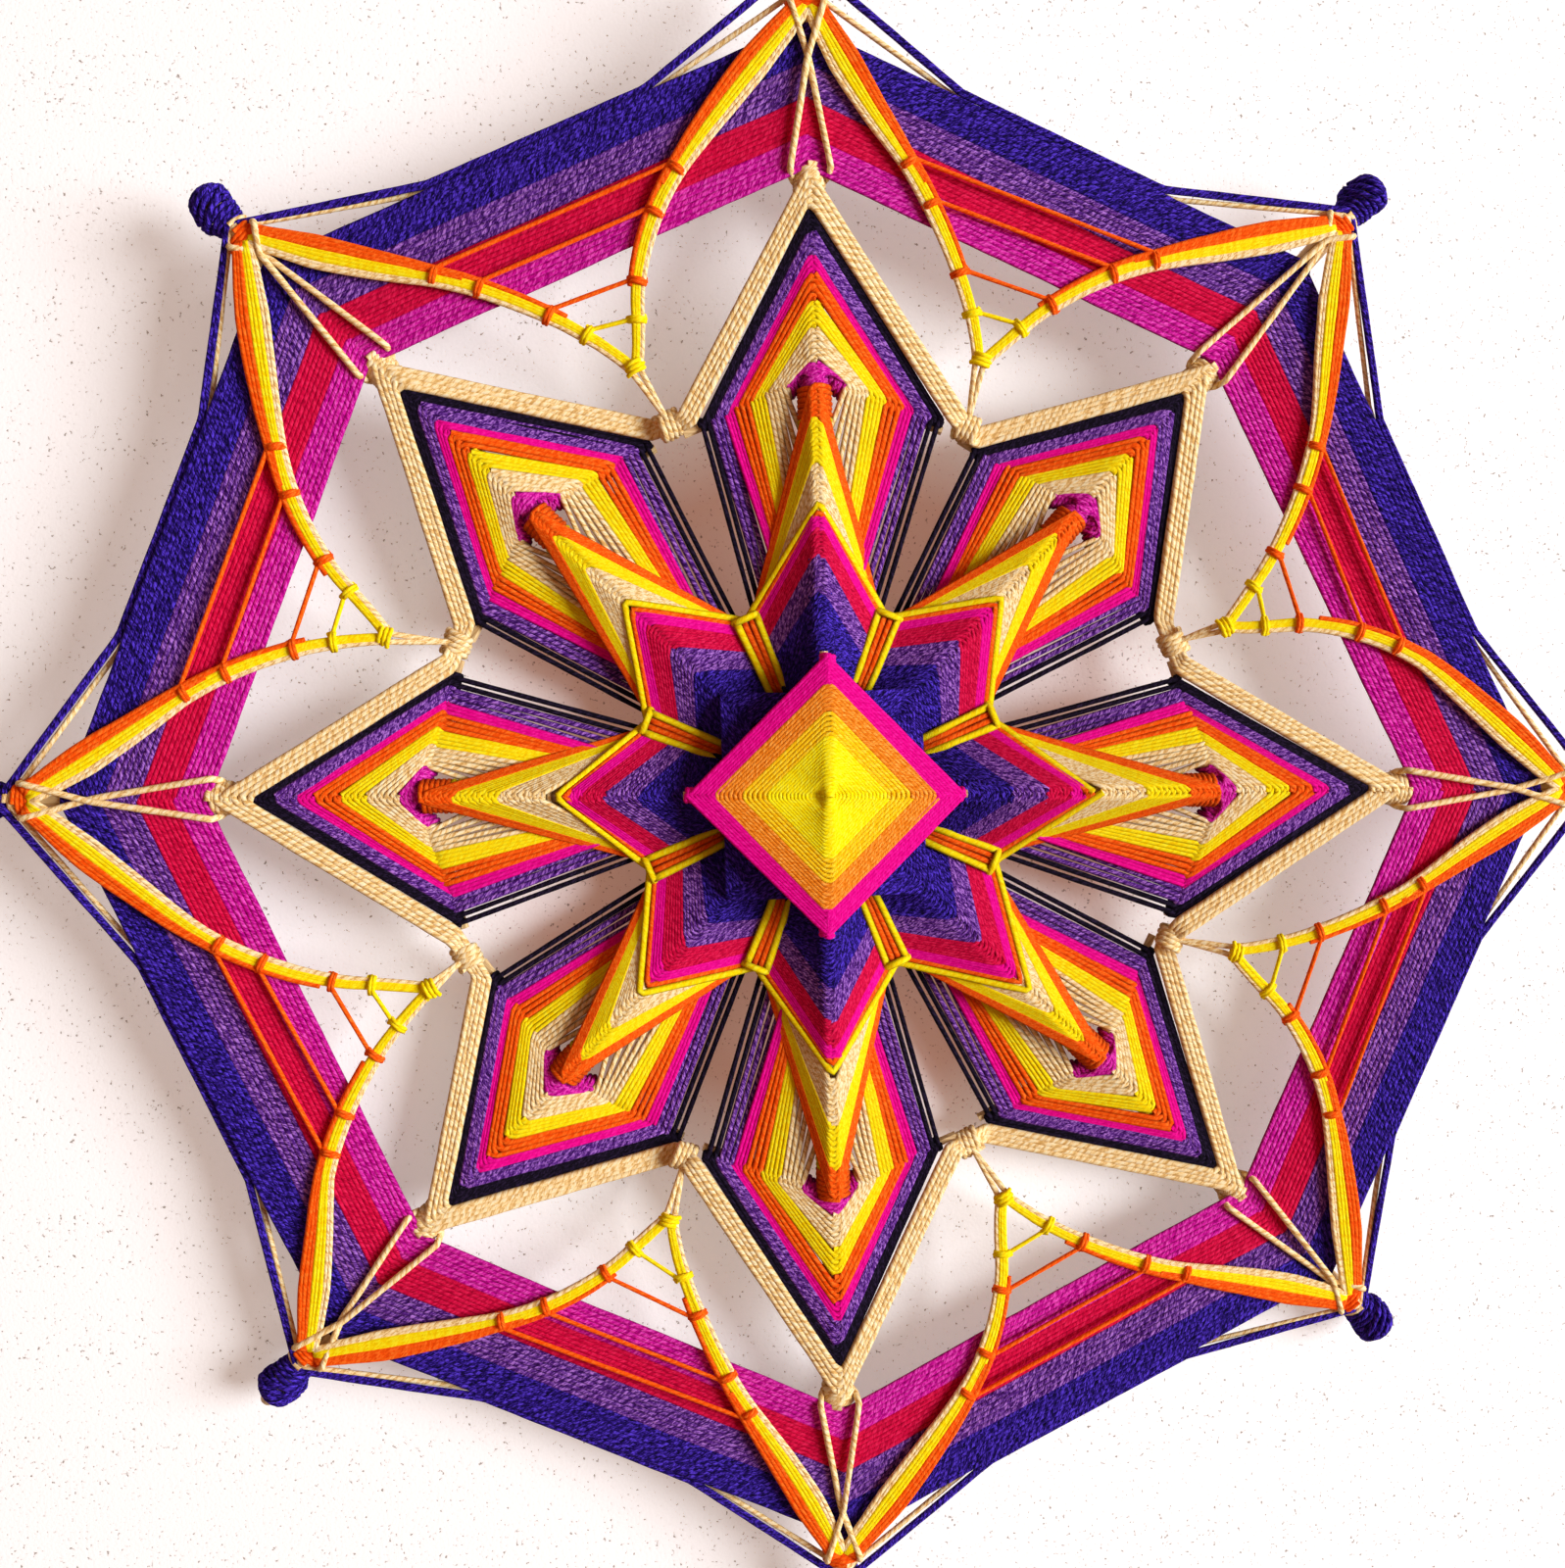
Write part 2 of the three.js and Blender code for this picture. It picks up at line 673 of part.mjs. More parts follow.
// Navy edge strand with a wound knob on every rod tip
function knobGeometry(spoke) {
  const inner = (rodDiameter / 2 + clearance) / Math.cos(Math.PI / knobSides);
  const outer = knobDiameter / 2;
  const end = knobStart + knobLength;
  const profile = [
    new THREE.Vector2(inner, knobStart),
    new THREE.Vector2(outer * 0.72, knobStart),
    new THREE.Vector2(outer, knobStart + knobLength * 0.35),
    new THREE.Vector2(outer * 0.92, knobStart + knobLength * 0.7),
    new THREE.Vector2(outer * 0.62, end),
    new THREE.Vector2(inner, end),
    new THREE.Vector2(inner, knobStart),
  ];
  const geometry = new THREE.LatheGeometry(profile, knobSides);
  const place = new THREE.Matrix4().makeBasis(
    new THREE.Vector3(Math.sin(spoke.angle), 0, -Math.cos(spoke.angle)),
    new THREE.Vector3(Math.cos(spoke.angle), 0, Math.sin(spoke.angle)),
    forward,
  );
  place.setPosition(0, -spoke.axis, 0);
  return geometry.applyMatrix4(place);
}

const edgeRadius = rimLast + rimEdgeLead;
const knobWall = (rodDiameter / 2 + clearance + knobDiameter / 2) / 2; // middle of a knob's wall
const edgePoints = [];
for (let index = 0; index < spokes.length; index++) {
  const spoke = spokes[index];
  edgePoints.push(onSpoke(spoke, knobStart + knobLength / 2, 0, spoke.axis + knobWall));
  edgePoints.push(rimSidePoint(index, edgeRadius, rimEdgeTouch, 0));
  edgePoints.push(rimSidePoint(index, edgeRadius, 1 - rimEdgeTouch, 0));
}
const knobs = spokes.map(knobGeometry);
addPiece('rim_edge_navy', fuse([ribbonRing(edgePoints, edgeWidth), ...knobs]), yarnMaterial(colors.navy));

// Tan edge strand: behind the rod tips and behind the rim
const tanEdgeRod = arcStarts.yellow + arcSpacing / 2;
const tanEdgePoints = [];
for (let index = 0; index < spokes.length; index++) {
  const spoke = spokes[index];
  const behind = -overpass - 0.3;
  const hidden = rimTanTouch + 0.1;
  tanEdgePoints.push(onSpoke(spoke, tanEdgeRod, 0, spoke.axis - ridgeRise));
  tanEdgePoints.push(rimSidePoint(index, edgeRadius, rimTanTouch, behind));
  tanEdgePoints.push(rimSidePoint(index, rimLast - 2 * rimTurnStep, hidden, behind));
  tanEdgePoints.push(rimSidePoint(index, rimLast - 2 * rimTurnStep, 1 - hidden, behind));
  tanEdgePoints.push(rimSidePoint(index, edgeRadius, 1 - rimTanTouch, behind));
}
addPiece('rim_edge_tan', ribbonRing(tanEdgePoints, edgeWidth), yarnMaterial(colors.tan));

// Arcs: from each rod tip over the rim to the gap beside the petal, in three colours side by side
const bridgeOuter = borderShoulder(spokes[0], 1, borderTurns).setY(0).length() + borderWidth / 2;
const arcEnds = {
  tan: bridgeOuter + arcTail,
  yellow: bridgeOuter + arcTail + arcJunction,
  orange: bridgeOuter + arcTail + arcJunction + arcOrangeEnd,
};
const arcBends = {
  tan: [rimFirst - 2 - arcBendStep, arcBow - arcBendStep],
  yellow: [rimFirst - 2, arcBow],
  orange: [rimFirst - 2 + arcBendStep, arcBow + arcBendStep],
};

// Depth of an arc: over the rim, and lower towards the border's bridge
function arcDepth(index, side, radius, share) {
  const spoke = spokeAt(index);
  const neighbour = spokeAt(index + side);
  const ridge = THREE.MathUtils.lerp(spoke.ridge, (spoke.ridge + neighbour.ridge) / 2, share);
  const bridge = (spoke.arm + neighbour.arm) / 2;
  const fall = THREE.MathUtils.clamp((rimFirst - radius) / (rimFirst - arcEnds.tan), 0, 1);
  const full = (spoke.ridge + neighbour.ridge) / 2 + arcLift - bridge;
  return ridge + arcLift - full * fall * fall;
}

function arcPoint(colour, index, side, t) {
  const half = halfSector(index, side);
  const end = arcEnds[colour];
  const curve = new THREE.QuadraticBezierCurve(
    new THREE.Vector2(arcStarts[colour], 0),
    new THREE.Vector2(...arcBends[colour]),
    new THREE.Vector2(end * Math.cos(half), end * Math.sin(half)),
  );
  const flat = curve.getPoint(t);
  const share = flat.angle() / half;
  const depth = arcDepth(index, side, flat.length(), share);
  return onSpoke(spokeAt(index), flat.x, side * flat.y, depth);
}

function arcRing(colour, lastShare, meetsNeighbour) {
  const points = [];
  for (let index = 0; index < spokes.length; index++) {
    for (let step = 0; step < arcSteps; step++) {
      points.push(arcPoint(colour, index, 1, (step / arcSteps) * lastShare));
    }
    points.push(arcPoint(colour, index, 1, lastShare));
    if (!meetsNeighbour) {
      points.push(arcPoint(colour, index + 1, -1, lastShare));
    }
    for (let step = arcSteps - 1; step > 0; step--) {
      points.push(arcPoint(colour, index + 1, -1, (step / arcSteps) * lastShare));
    }
  }
  return ribbonRing(points, arcWidths[colour]);
}

function arcThread(colour, index, t) {
  const ends = [arcPoint(colour, index, 1, t), arcPoint(colour, index + 1, -1, t)];
  return ribbon(ends, arcThreadWidth);
}

function threads(colour, shares) {
  return spokes.flatMap((_, index) => shares.map((t) => arcThread(colour, index, t)));
}

const orangeArcs = [arcRing('orange', orangeBridge, false), ...threads('orange', orangeThreads)];
const yellowArcs = [arcRing('yellow', 1, true), ...threads('yellow', [yellowThread])];
addPiece('arc_orange', fuse(orangeArcs), yarnMaterial(colors.orange));
addPiece('arc_yellow', fuse(yellowArcs), yarnMaterial(colors.yellow));
addPiece('arc_tan', arcRing('tan', 1, true), yarnMaterial(colors.tan));

// Ties: two strands crossing between a rod tip and the petal tip, and round the rod behind it
function tiePoints(spoke) {
  const upper = arcLift + overpass + 0.1; // over the arcs
  const lower = overpass + 0.15; // over the rim
  const tip = (arcStarts.tan + arcStarts.yellow) / 2;
  const edge = rimLast - 1.5;
  const middle = (edge + rimFirst) / 2 + 3;
  const knot = borderLastTip - 2.6;
  const behind = -rodDiameter / 2 - clearance - tieRadius - 0.15;
  const half = (side, crossing) => [
    onSpoke(spoke, tip, -side * tieSpread, spoke.ridge + upper),
    onSpoke(spoke, edge, -side * tieSpread * 0.5, spoke.ridge + upper),
    onSpoke(spoke, middle, 0, spoke.ridge + crossing),
    onSpoke(spoke, rimFirst + 1, side * (tieKnotSpread - 0.7), spoke.ridge + lower),
    onSpoke(spoke, knot + 2, side * tieKnotSpread, spoke.ridge + 1.3),
    onSpoke(spoke, knot, side * (tieKnotSpread - 0.1), spoke.axis + 0.6),
    onSpoke(spoke, knot - 0.4, side * 3.2, spoke.axis + behind + 1.3),
  ];
  return [
    ...half(1, lower),
    onSpoke(spoke, knot - 0.4, 0, spoke.axis + behind),
    ...half(-1, lower + overpass + 0.1).reverse(),
  ];
}

for (const spoke of spokes) {
  addPiece(`tip_tie_${spoke.name}`, strand(tiePoints(spoke), tieRadius, 5), yarnMaterial(colors.tan));
}

for (const [name, gap] of selfGaps) {
  console.log(`${name}: least gap to itself ${gap.toFixed(2)} mm`);
}

export default ojo;
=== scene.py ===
import math
import bpy
from mathutils import Euler, Matrix, Vector


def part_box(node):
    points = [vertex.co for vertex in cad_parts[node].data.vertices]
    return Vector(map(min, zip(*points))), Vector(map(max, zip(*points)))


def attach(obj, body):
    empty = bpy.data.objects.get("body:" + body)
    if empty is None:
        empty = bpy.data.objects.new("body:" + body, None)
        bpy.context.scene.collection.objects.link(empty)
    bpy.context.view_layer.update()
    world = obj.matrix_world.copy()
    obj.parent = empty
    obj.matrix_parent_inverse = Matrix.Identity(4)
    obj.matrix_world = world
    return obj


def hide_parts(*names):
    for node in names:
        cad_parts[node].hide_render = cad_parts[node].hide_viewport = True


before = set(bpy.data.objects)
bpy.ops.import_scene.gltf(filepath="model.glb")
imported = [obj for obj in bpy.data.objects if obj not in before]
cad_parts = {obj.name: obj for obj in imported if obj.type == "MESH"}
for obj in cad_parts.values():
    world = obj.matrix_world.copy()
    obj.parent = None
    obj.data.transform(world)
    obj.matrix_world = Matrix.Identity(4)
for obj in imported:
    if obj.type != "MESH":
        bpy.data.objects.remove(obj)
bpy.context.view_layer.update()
metre = 0.001  # all paths below are in millimetres
toViewer = Vector((0, -1, 0))


def linearColour(hexText):
    channels = [int(hexText[i:i + 2], 16) / 255 for i in (0, 2, 4)]
    return tuple(c / 12.92 if c <= 0.04045 else ((c + 0.055) / 1.055) ** 2.4 for c in channels) + (1.0,)


def addNode(tree, kind, settings, links):
    node = tree.nodes.new(kind)
    for key, value in settings.items():
        if isinstance(key, str) and key in node.bl_rna.properties:
            setattr(node, key, value)
        else:
            node.inputs[key].default_value = value
    for key, source in links.items():
        tree.links.new(source, node.inputs[key])
    return node


def addMath(tree, operation, settings, links, kind="ShaderNodeMath"):
    return addNode(tree, kind, {"operation": operation, **settings}, links).outputs[0]


def addVectorMath(tree, operation, settings, links):
    return addMath(tree, operation, settings, links, "ShaderNodeVectorMath")


def addRamp(tree, source, stops):
    ramp = addNode(tree, "ShaderNodeValToRGB", {}, {0: source})
    elements = ramp.color_ramp.elements
    for k, (position, colour) in enumerate(stops):
        stop = elements[k] if k < 2 else elements.new(position)
        stop.position, stop.color = position, linearColour(colour)
    return ramp.outputs[0]


def newMaterial(name):
    material = bpy.data.materials.new(name)
    material.use_nodes = True
    return material, material.node_tree, material.node_tree.nodes["Principled BSDF"]


def addObject(name, data):
    item = bpy.data.objects.new(name, data)
    bpy.context.scene.collection.objects.link(item)
    return item


# Acrylic and wool yarn, two plies twisted: dull, slightly fuzzy, lighter flecks where fibres stand out.
yarnColours = {
    "navy": {"dark": "06021C", "body": "240E6E", "light": "5A3CD4"},
    "purple": {"dark": "2A0846", "body": "5C268A", "light": "B67AD8"},
    "crimson": {"dark": "AA0030", "body": "D4043E", "light": "E62456"},
    "rose": {"dark": "96006C", "body": "D20C98", "light": "F054C2"},
    "magenta": {"dark": "DA007E", "body": "EC008C", "light": "F61E9E"},
    "orange": {"dark": "E84600", "body": "FC5A06", "light": "FF7C26"},
    "yellow": {"dark": "F8CA00", "body": "FFE200", "light": "FFF02C"},
    # A lighter copy of the yellow yarn: painted light for the eye, which faces the light more than the petals.
    "lemon": {"dark": "FFDC00", "body": "FFEE00", "light": "FFF63A"},
    "gold": {"dark": "F6B404", "body": "FFCC0A", "light": "FFE040"},
    "amber": {"dark": "DC700C", "body": "F68A1C", "light": "FFAE4A"},
    "tan": {"dark": "D8A65C", "body": "FFDC98", "light": "FFEEC2", "ply": 0.11},
    "black": {"dark": "060208", "body": "100818", "light": "2A1E38"},
}
yarnFinish = {
    "plies": 2.0, "plyPitch": 2.3, "ply": 0.06,  # strands twisted together, mm for one twist, how deep it shows as bump and as painted light and shade in the colour
    "slack": 14.0, "slackTurn": 16.0,  # mm between tighter places and how much they are turned
    "fleckLength": 0.9, "fleckShare": 0.8, "fleckDrift": 97.0, "stops": (0.34, 0.5, 0.66), "bump": 0.2,
    "shader": {"Roughness": 0.9, "Specular IOR Level": 0.08, "Sheen Weight": 0.02, "Sheen Roughness": 0.45},
}


def yarnMaterial(name, colour):
    material, tree, shader = newMaterial("wool_yarn_" + name)
    place = addNode(tree, "ShaderNodeAttribute", {"attribute_name": "yarnMap"}, {})
    tint = addNode(tree, "ShaderNodeAttribute", {"attribute_name": "yarnTint"}, {})
    axes = addNode(tree, "ShaderNodeSeparateXYZ", {}, {0: place.outputs["Vector"]}).outputs
    around = addMath(tree, "ARCTAN2", {}, {0: axes[2], 1: axes[1]})
    lay = addMath(tree, "MULTIPLY", {1: 2 * math.pi / yarnFinish["plyPitch"]}, {0: axes[0]})
    length = addMath(tree, "DIVIDE", {1: yarnFinish["slack"]}, {0: axes[0]})
    slack = addNode(tree, "ShaderNodeTexNoise", {"noise_dimensions": "1D", "Scale": 1.0, "Detail": 0.0}, {"W": length})
    uneven = addMath(tree, "MULTIPLY_ADD", {1: yarnFinish["slackTurn"]}, {0: slack.outputs["Fac"], 2: lay})
    twist = addMath(tree, "MULTIPLY_ADD", {1: yarnFinish["plies"]}, {0: around, 2: uneven})
    ply = addMath(tree, "SINE", {}, {0: twist})
    drift = addMath(tree, "MULTIPLY", {1: yarnFinish["fleckDrift"]}, {0: tint.outputs["Fac"]})
    spot = addNode(tree, "ShaderNodeCombineXYZ", {}, {0: axes[0], 1: twist, 2: drift})
    fineness = (1 / yarnFinish["fleckLength"], yarnFinish["fleckShare"], 1)
    stretch = addVectorMath(tree, "MULTIPLY", {1: fineness}, {0: spot.outputs[0]})
    fleck = addNode(tree, "ShaderNodeTexNoise", {"Scale": 1.0, "Detail": 2.0, "Roughness": 0.6}, {"Vector": stretch})
    # Painted light and shade: the ply's crests are lighter and its troughs darker in colour, mixed with the real
    # flecks.
    raised = addMath(tree, "MULTIPLY_ADD", {1: colour.get("ply", yarnFinish["ply"])}, {0: ply, 2: fleck.outputs["Fac"]})
    ramp = addRamp(tree, raised, zip(yarnFinish["stops"], (colour["dark"], colour["body"], colour["light"])))
    bump = addNode(tree, "ShaderNodeBump", {"Strength": 0.5, "Distance": yarnFinish["bump"] * metre},
                   {"Height": raised})
    # Painted shade: the colour is darkened down each strand's flanks by the stored groove shade.
    groove = addNode(tree, "ShaderNodeAttribute", {"attribute_name": "yarnShade"}, {})
    shaded = addVectorMath(tree, "SCALE", {}, {0: ramp, "Scale": groove.outputs["Fac"]})
    tree.links.new(shaded, shader.inputs["Base Color"])
    tree.links.new(bump.outputs[0], shader.inputs["Normal"])
    for label, value in yarnFinish["shader"].items():
        shader.inputs[label].default_value = value
    shader.inputs["Sheen Tint"].default_value = linearColour(colour["light"])
    return material


yarns = {name: yarnMaterial(name, colour) for name, colour in yarnColours.items()}
print("yarn colours", len(yarns))

# Split bamboo: pale, dry, fine dark fibres along the stick.
bambooFinish = {"light": "E4C48C", "dark": "A8783C", "stops": (0.3, 0.62), "fibre": 0.7, "length": 26.0, "bump": 0.1,
                "roughness": 0.55}


def bambooMaterial(name, direction):
    material, tree, shader = newMaterial("bamboo_" + name)
    place = addNode(tree, "ShaderNodeTexCoord", {}, {})
    turn = addNode(tree, "ShaderNodeMapping", {"Rotation": (0, math.radians(direction), 0)},
                   {"Vector": place.outputs["Object"]})
    fineness = (1000 / bambooFinish["length"], 1000 / bambooFinish["fibre"], 1000 / bambooFinish["fibre"])
    squeeze = addVectorMath(tree, "MULTIPLY", {1: fineness}, {0: turn.outputs[0]})
    grain = addNode(tree, "ShaderNodeTexNoise", {"Scale": 1.0, "Detail": 3.0}, {"Vector": squeeze}).outputs["Fac"]
    ramp = addRamp(tree, grain, zip(bambooFinish["stops"], (bambooFinish["dark"], bambooFinish["light"])))
    bump = addNode(tree, "ShaderNodeBump", {"Strength": 0.4, "Distance": bambooFinish["bump"] * metre},
                   {"Height": grain})
    tree.links.new(ramp, shader.inputs["Base Color"])
    tree.links.new(bump.outputs[0], shader.inputs["Normal"])
    shader.inputs["Roughness"].default_value = bambooFinish["roughness"]
    return material


# One yarn along a path: it sways a little, swells and thins, is pressed flat and has painted shade down its flanks,
# where its neighbours would shade it.
yarnLay = {"sides": 8, "sway": 34.0, "swell": 210.0, "grooveFrom": 0.3, "grooveTo": 0.9}
yarnTree = bpy.data.node_groups.new("wound yarn", "GeometryNodeTree")
yarnInputs = {}
for label, kind in (("Path", "Object"), ("Yarn Radius", "Float"), ("Step", "Float"), ("Sides", "Int"),
                    ("Wander", "Float"), ("Unevenness", "Float"), ("Flatness", "Float"), ("Groove", "Float"),
                    ("Seed", "Int"), ("Yarn", "Material")):
    socket = yarnTree.interface.new_socket(label, in_out="INPUT", socket_type="NodeSocket" + kind)
    yarnInputs[label] = socket.identifier
yarnTree.interface.new_socket("Geometry", in_out="OUTPUT", socket_type="NodeSocketGeometry")


def buildYarnTree(tree):
    given = addNode(tree, "NodeGroupInput", {}, {}).outputs
    path = addNode(tree, "GeometryNodeObjectInfo", {}, {"Object": given["Path"]})
    even = addNode(tree, "GeometryNodeResampleCurve", {"mode": "LENGTH"},
                   {"Curve": path.outputs["Geometry"], "Length": given["Step"]})
    strand = addNode(tree, "GeometryNodeCurveOfPoint", {}, {})
    shift = addNode(tree, "FunctionNodeRandomValue", {"data_type": "FLOAT_VECTOR", 0: (-9, -9, -9), 1: (9, 9, 9)},
                    {"ID": strand.outputs[0], "Seed": given["Seed"]})
    place = addNode(tree, "GeometryNodeInputPosition", {}, {}).outputs[0]
    apart = addVectorMath(tree, "ADD", {}, {0: place, 1: shift.outputs[0]})
    sway = addNode(tree, "ShaderNodeTexNoise", {"Scale": yarnLay["sway"], "Detail": 1.0}, {"Vector": apart})
    middle = addVectorMath(tree, "SUBTRACT", {1: (0.5, 0.5, 0.5)}, {0: sway.outputs["Color"]})
    offset = addVectorMath(tree, "SCALE", {}, {0: middle, "Scale": given["Wander"]})
    laid = addNode(tree, "GeometryNodeSetPosition", {}, {"Geometry": even.outputs[0], "Offset": offset})
    swell = addNode(tree, "ShaderNodeTexNoise", {"Scale": yarnLay["swell"], "Detail": 0.0}, {"Vector": apart})
    lumps = addMath(tree, "SUBTRACT", {1: 0.5}, {0: swell.outputs["Fac"]})
    width = addMath(tree, "MULTIPLY_ADD", {2: 1.0}, {0: lumps, 1: given["Unevenness"]})
    along = addNode(tree, "GeometryNodeSplineParameter", {}, {})
    chance = addNode(tree, "FunctionNodeRandomValue", {}, {"ID": strand.outputs[0], "Seed": given["Seed"]})
    marked = tree.nodes.new("GeometryNodeCaptureAttribute")
    marked.capture_items.new("FLOAT", "along")
    marked.capture_items.new("FLOAT", "chance")
    marked.capture_items.new("VECTOR", "centre")
    tree.links.new(laid.outputs[0], marked.inputs[0])
    tree.links.new(along.outputs["Length"], marked.inputs[1])
    tree.links.new(chance.outputs[1], marked.inputs[2])
    tree.links.new(place, marked.inputs[3])
    ring = addNode(tree, "GeometryNodeCurvePrimitiveCircle", {"mode": "RADIUS"},
                   {"Resolution": given["Sides"], "Radius": given["Yarn Radius"]})
    turn = addNode(tree, "GeometryNodeSplineParameter", {}, {})
    ringMarked = tree.nodes.new("GeometryNodeCaptureAttribute")
    ringMarked.capture_items.new("FLOAT", "around")
    tree.links.new(ring.outputs[0], ringMarked.inputs[0])
    tree.links.new(turn.outputs["Factor"], ringMarked.inputs[1])
    tube = addNode(tree, "GeometryNodeCurveToMesh", {"Fill Caps": True},
                   {"Curve": marked.outputs[0], "Profile Curve": ringMarked.outputs[0], "Scale": width})
    around = addVectorMath(tree, "SUBTRACT", {}, {0: place, 1: marked.outputs[3]})
    squash = addNode(tree, "ShaderNodeCombineXYZ", {0: 1.0, 2: 1.0}, {1: given["Flatness"]})
    pressed = addVectorMath(tree, "MULTIPLY_ADD", {}, {0: around, 1: squash.outputs[0], 2: marked.outputs[3]})
    flat = addNode(tree, "GeometryNodeSetPosition", {}, {"Geometry": tube.outputs[0], "Position": pressed})
    angle = addMath(tree, "MULTIPLY", {1: 2 * math.pi}, {0: ringMarked.outputs[1]})
    cosine = addMath(tree, "COSINE", {}, {0: angle})
    sine = addMath(tree, "SINE", {}, {0: angle})
    length = addMath(tree, "DIVIDE", {1: metre}, {0: marked.outputs[1]})
    mapped = addNode(tree, "ShaderNodeCombineXYZ", {}, {0: length, 1: cosine, 2: sine})
    stored = addNode(tree, "GeometryNodeStoreNamedAttribute", {"data_type": "FLOAT_VECTOR", "Name": "yarnMap"},
                     {"Geometry": flat.outputs[0], "Value": mapped.outputs[0]})
    tinted = addNode(tree, "GeometryNodeStoreNamedAttribute", {"Name": "yarnTint"},
                     {"Geometry": stored.outputs[0], "Value": marked.outputs[2]})
    # Painted shade: full colour on the strand's crown, darker where its ring turns sideways towards its neighbours.
    height = addNode(tree, "ShaderNodeSeparateXYZ", {}, {0: around})
    thickness = addMath(tree, "MULTIPLY", {}, {0: given["Yarn Radius"], 1: given["Flatness"]})
    crown = addMath(tree, "DIVIDE", {}, {0: height.outputs[1], 1: thickness})
    steep = addMath(tree, "ABSOLUTE", {}, {0: crown})
    deep = addMath(tree, "SUBTRACT", {0: 1.0}, {1: given["Groove"]})
    shade = addNode(tree, "ShaderNodeMapRange",
                    {"interpolation_type": "SMOOTHSTEP", "From Min": yarnLay["grooveFrom"],
                     "From Max": yarnLay["grooveTo"], "To Max": 1.0}, {"Value": steep, "To Min": deep})
    grooved = addNode(tree, "GeometryNodeStoreNamedAttribute", {"Name": "yarnShade"},
                      {"Geometry": tinted.outputs[0], "Value": shade.outputs[0]})
    smooth = addNode(tree, "GeometryNodeSetShadeSmooth", {}, {"Geometry": grooved.outputs[0]})
    real = addNode(tree, "GeometryNodeRealizeInstances", {}, {"Geometry": smooth.outputs[0]})
    dyed = addNode(tree, "GeometryNodeSetMaterial", {}, {"Geometry": real.outputs[0], "Material": given["Yarn"]})
    addNode(tree, "NodeGroupOutput", {}, {"Geometry": dyed.outputs[0]})


buildYarnTree(yarnTree)


def yarnMesh(name, colour, strands, radius, wander=0.25, unevenness=0.25, flatness=1.0, groove=0.0, step=1.7, seed=3):
    curve = bpy.data.curves.new(name + "_path", "CURVE")
    curve.dimensions = "3D"
    for points in strands:
        spline = curve.splines.new("POLY")
        spline.points.add(len(points) - 1)
        flat = [value for p in points for value in (p.x * metre, p.y * metre, p.z * metre, 1.0)]
        spline.points.foreach_set("co", flat)
    path = addObject(name + "_path", curve)
    piece = addObject(name, bpy.data.meshes.new(name))
    modifier = piece.modifiers.new("yarn", "NODES")
    modifier.node_group = yarnTree
    for label, value in (("Path", path), ("Yarn Radius", radius * metre), ("Step", step * metre),
                         ("Sides", yarnLay["sides"]), ("Wander", wander * metre), ("Unevenness", unevenness),
                         ("Flatness", flatness), ("Groove", groove), ("Seed", seed), ("Yarn", yarns[colour])):
        modifier[yarnInputs[label]] = value
    shown = piece.evaluated_get(bpy.context.evaluated_depsgraph_get())
    mesh = bpy.data.meshes.new_from_object(shown)
    piece.modifiers.remove(modifier)
    piece.data = mesh
    bpy.data.objects.remove(path)
    return piece


def finishPiece(pieces, name, nodes):
    first = pieces[0]
    if len(pieces) > 1:
        with bpy.context.temp_override(active_object=first, object=first, selected_objects=pieces,
                                       selected_editable_objects=pieces):
            bpy.ops.object.join()
    first.name = name
    first.data.name = name
    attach(first, "root")
    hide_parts(*nodes)
    print(name, len(first.data.polygons), "faces")


def woundPiece(node, dye, colour, strands, radius, name=None, **lay):
    name = name or node + "_yarn"
    finishPiece([yarnMesh(name, colour, strands, radius, **lay)], name, [node])


# The eight spokes: two rods in front, two behind them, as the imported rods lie.
spokeNames = ["right", "upper_right", "top", "upper_left", "left", "lower_left", "bottom", "lower_right"]
rodNodes = ["level_rod", "rising_rod", "upright_rod", "falling_rod"]
rodAngles = [0.2, 47.5, 91.5, 136.2]
rodRadius = 2.5


def axisDepth(node):
    low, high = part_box(node)
    return -(low.y + high.y) / 2 / metre


def directions(angle):
    return {"along": Vector((math.cos(angle), 0, math.sin(angle))),
            "across": Vector((-math.sin(angle), 0, math.cos(angle)))}


spokes = []
for index, name in enumerate(spokeNames):
    angle = math.radians(rodAngles[index % 4] + 180 * (index // 4))
    spokes.append({"name": name, "index": index, "angle": angle, "depth": axisDepth(rodNodes[index % 4]),
                   **directions(angle)})


def at(spoke, along, across, depth):
    return spoke["along"] * along + spoke["across"] * across + toViewer * depth


def sector(index):
    first, second = spokes[index], spokes[(index + 1) % 8]
    end = second["angle"] + (2 * math.pi if second["angle"] < first["angle"] else 0)
    middle = (first["angle"] + end) / 2
    return {"first": first, "second": second, "half": (end - first["angle"]) / 2, **directions(middle)}


sectors = [sector(i) for i in range(8)]


def mix(a, b, share):
    return a + (b - a) * share


turning = {"lead": 10, "steps": 9, "sinkSlope": 1.7}  # degrees past the top, points for a turn


def wrap(centre, axis, over, up, radius, advance, turns=1, sink=0.0):
    if not turns:
        return [centre + up * radius]  # the yarn only passes over
    points = []
    lead = turning["lead"]
    count = turning["steps"] * turns
    for k in range(count + 1):
        share = k / count
        turn = math.radians(-lead + (360 * turns + 2 * lead) * share)
        # It sinks under its neighbours away from the ridge.
        reach = radius - sink * min(1, abs(math.sin(turn / 2)) * turning["sinkSlope"])
        points.append(centre + axis * (advance * (share - 0.5)) + (up * math.cos(turn) + over * math.sin(turn)) * reach)
    return points


def wrapRod(spoke, place, radius, advance, turns=1, sink=0.0):
    return wrap(at(spoke, place, 0, spoke["depth"]), spoke["along"], spoke["across"], toViewer, radius, advance,
                turns=turns, sink=sink)


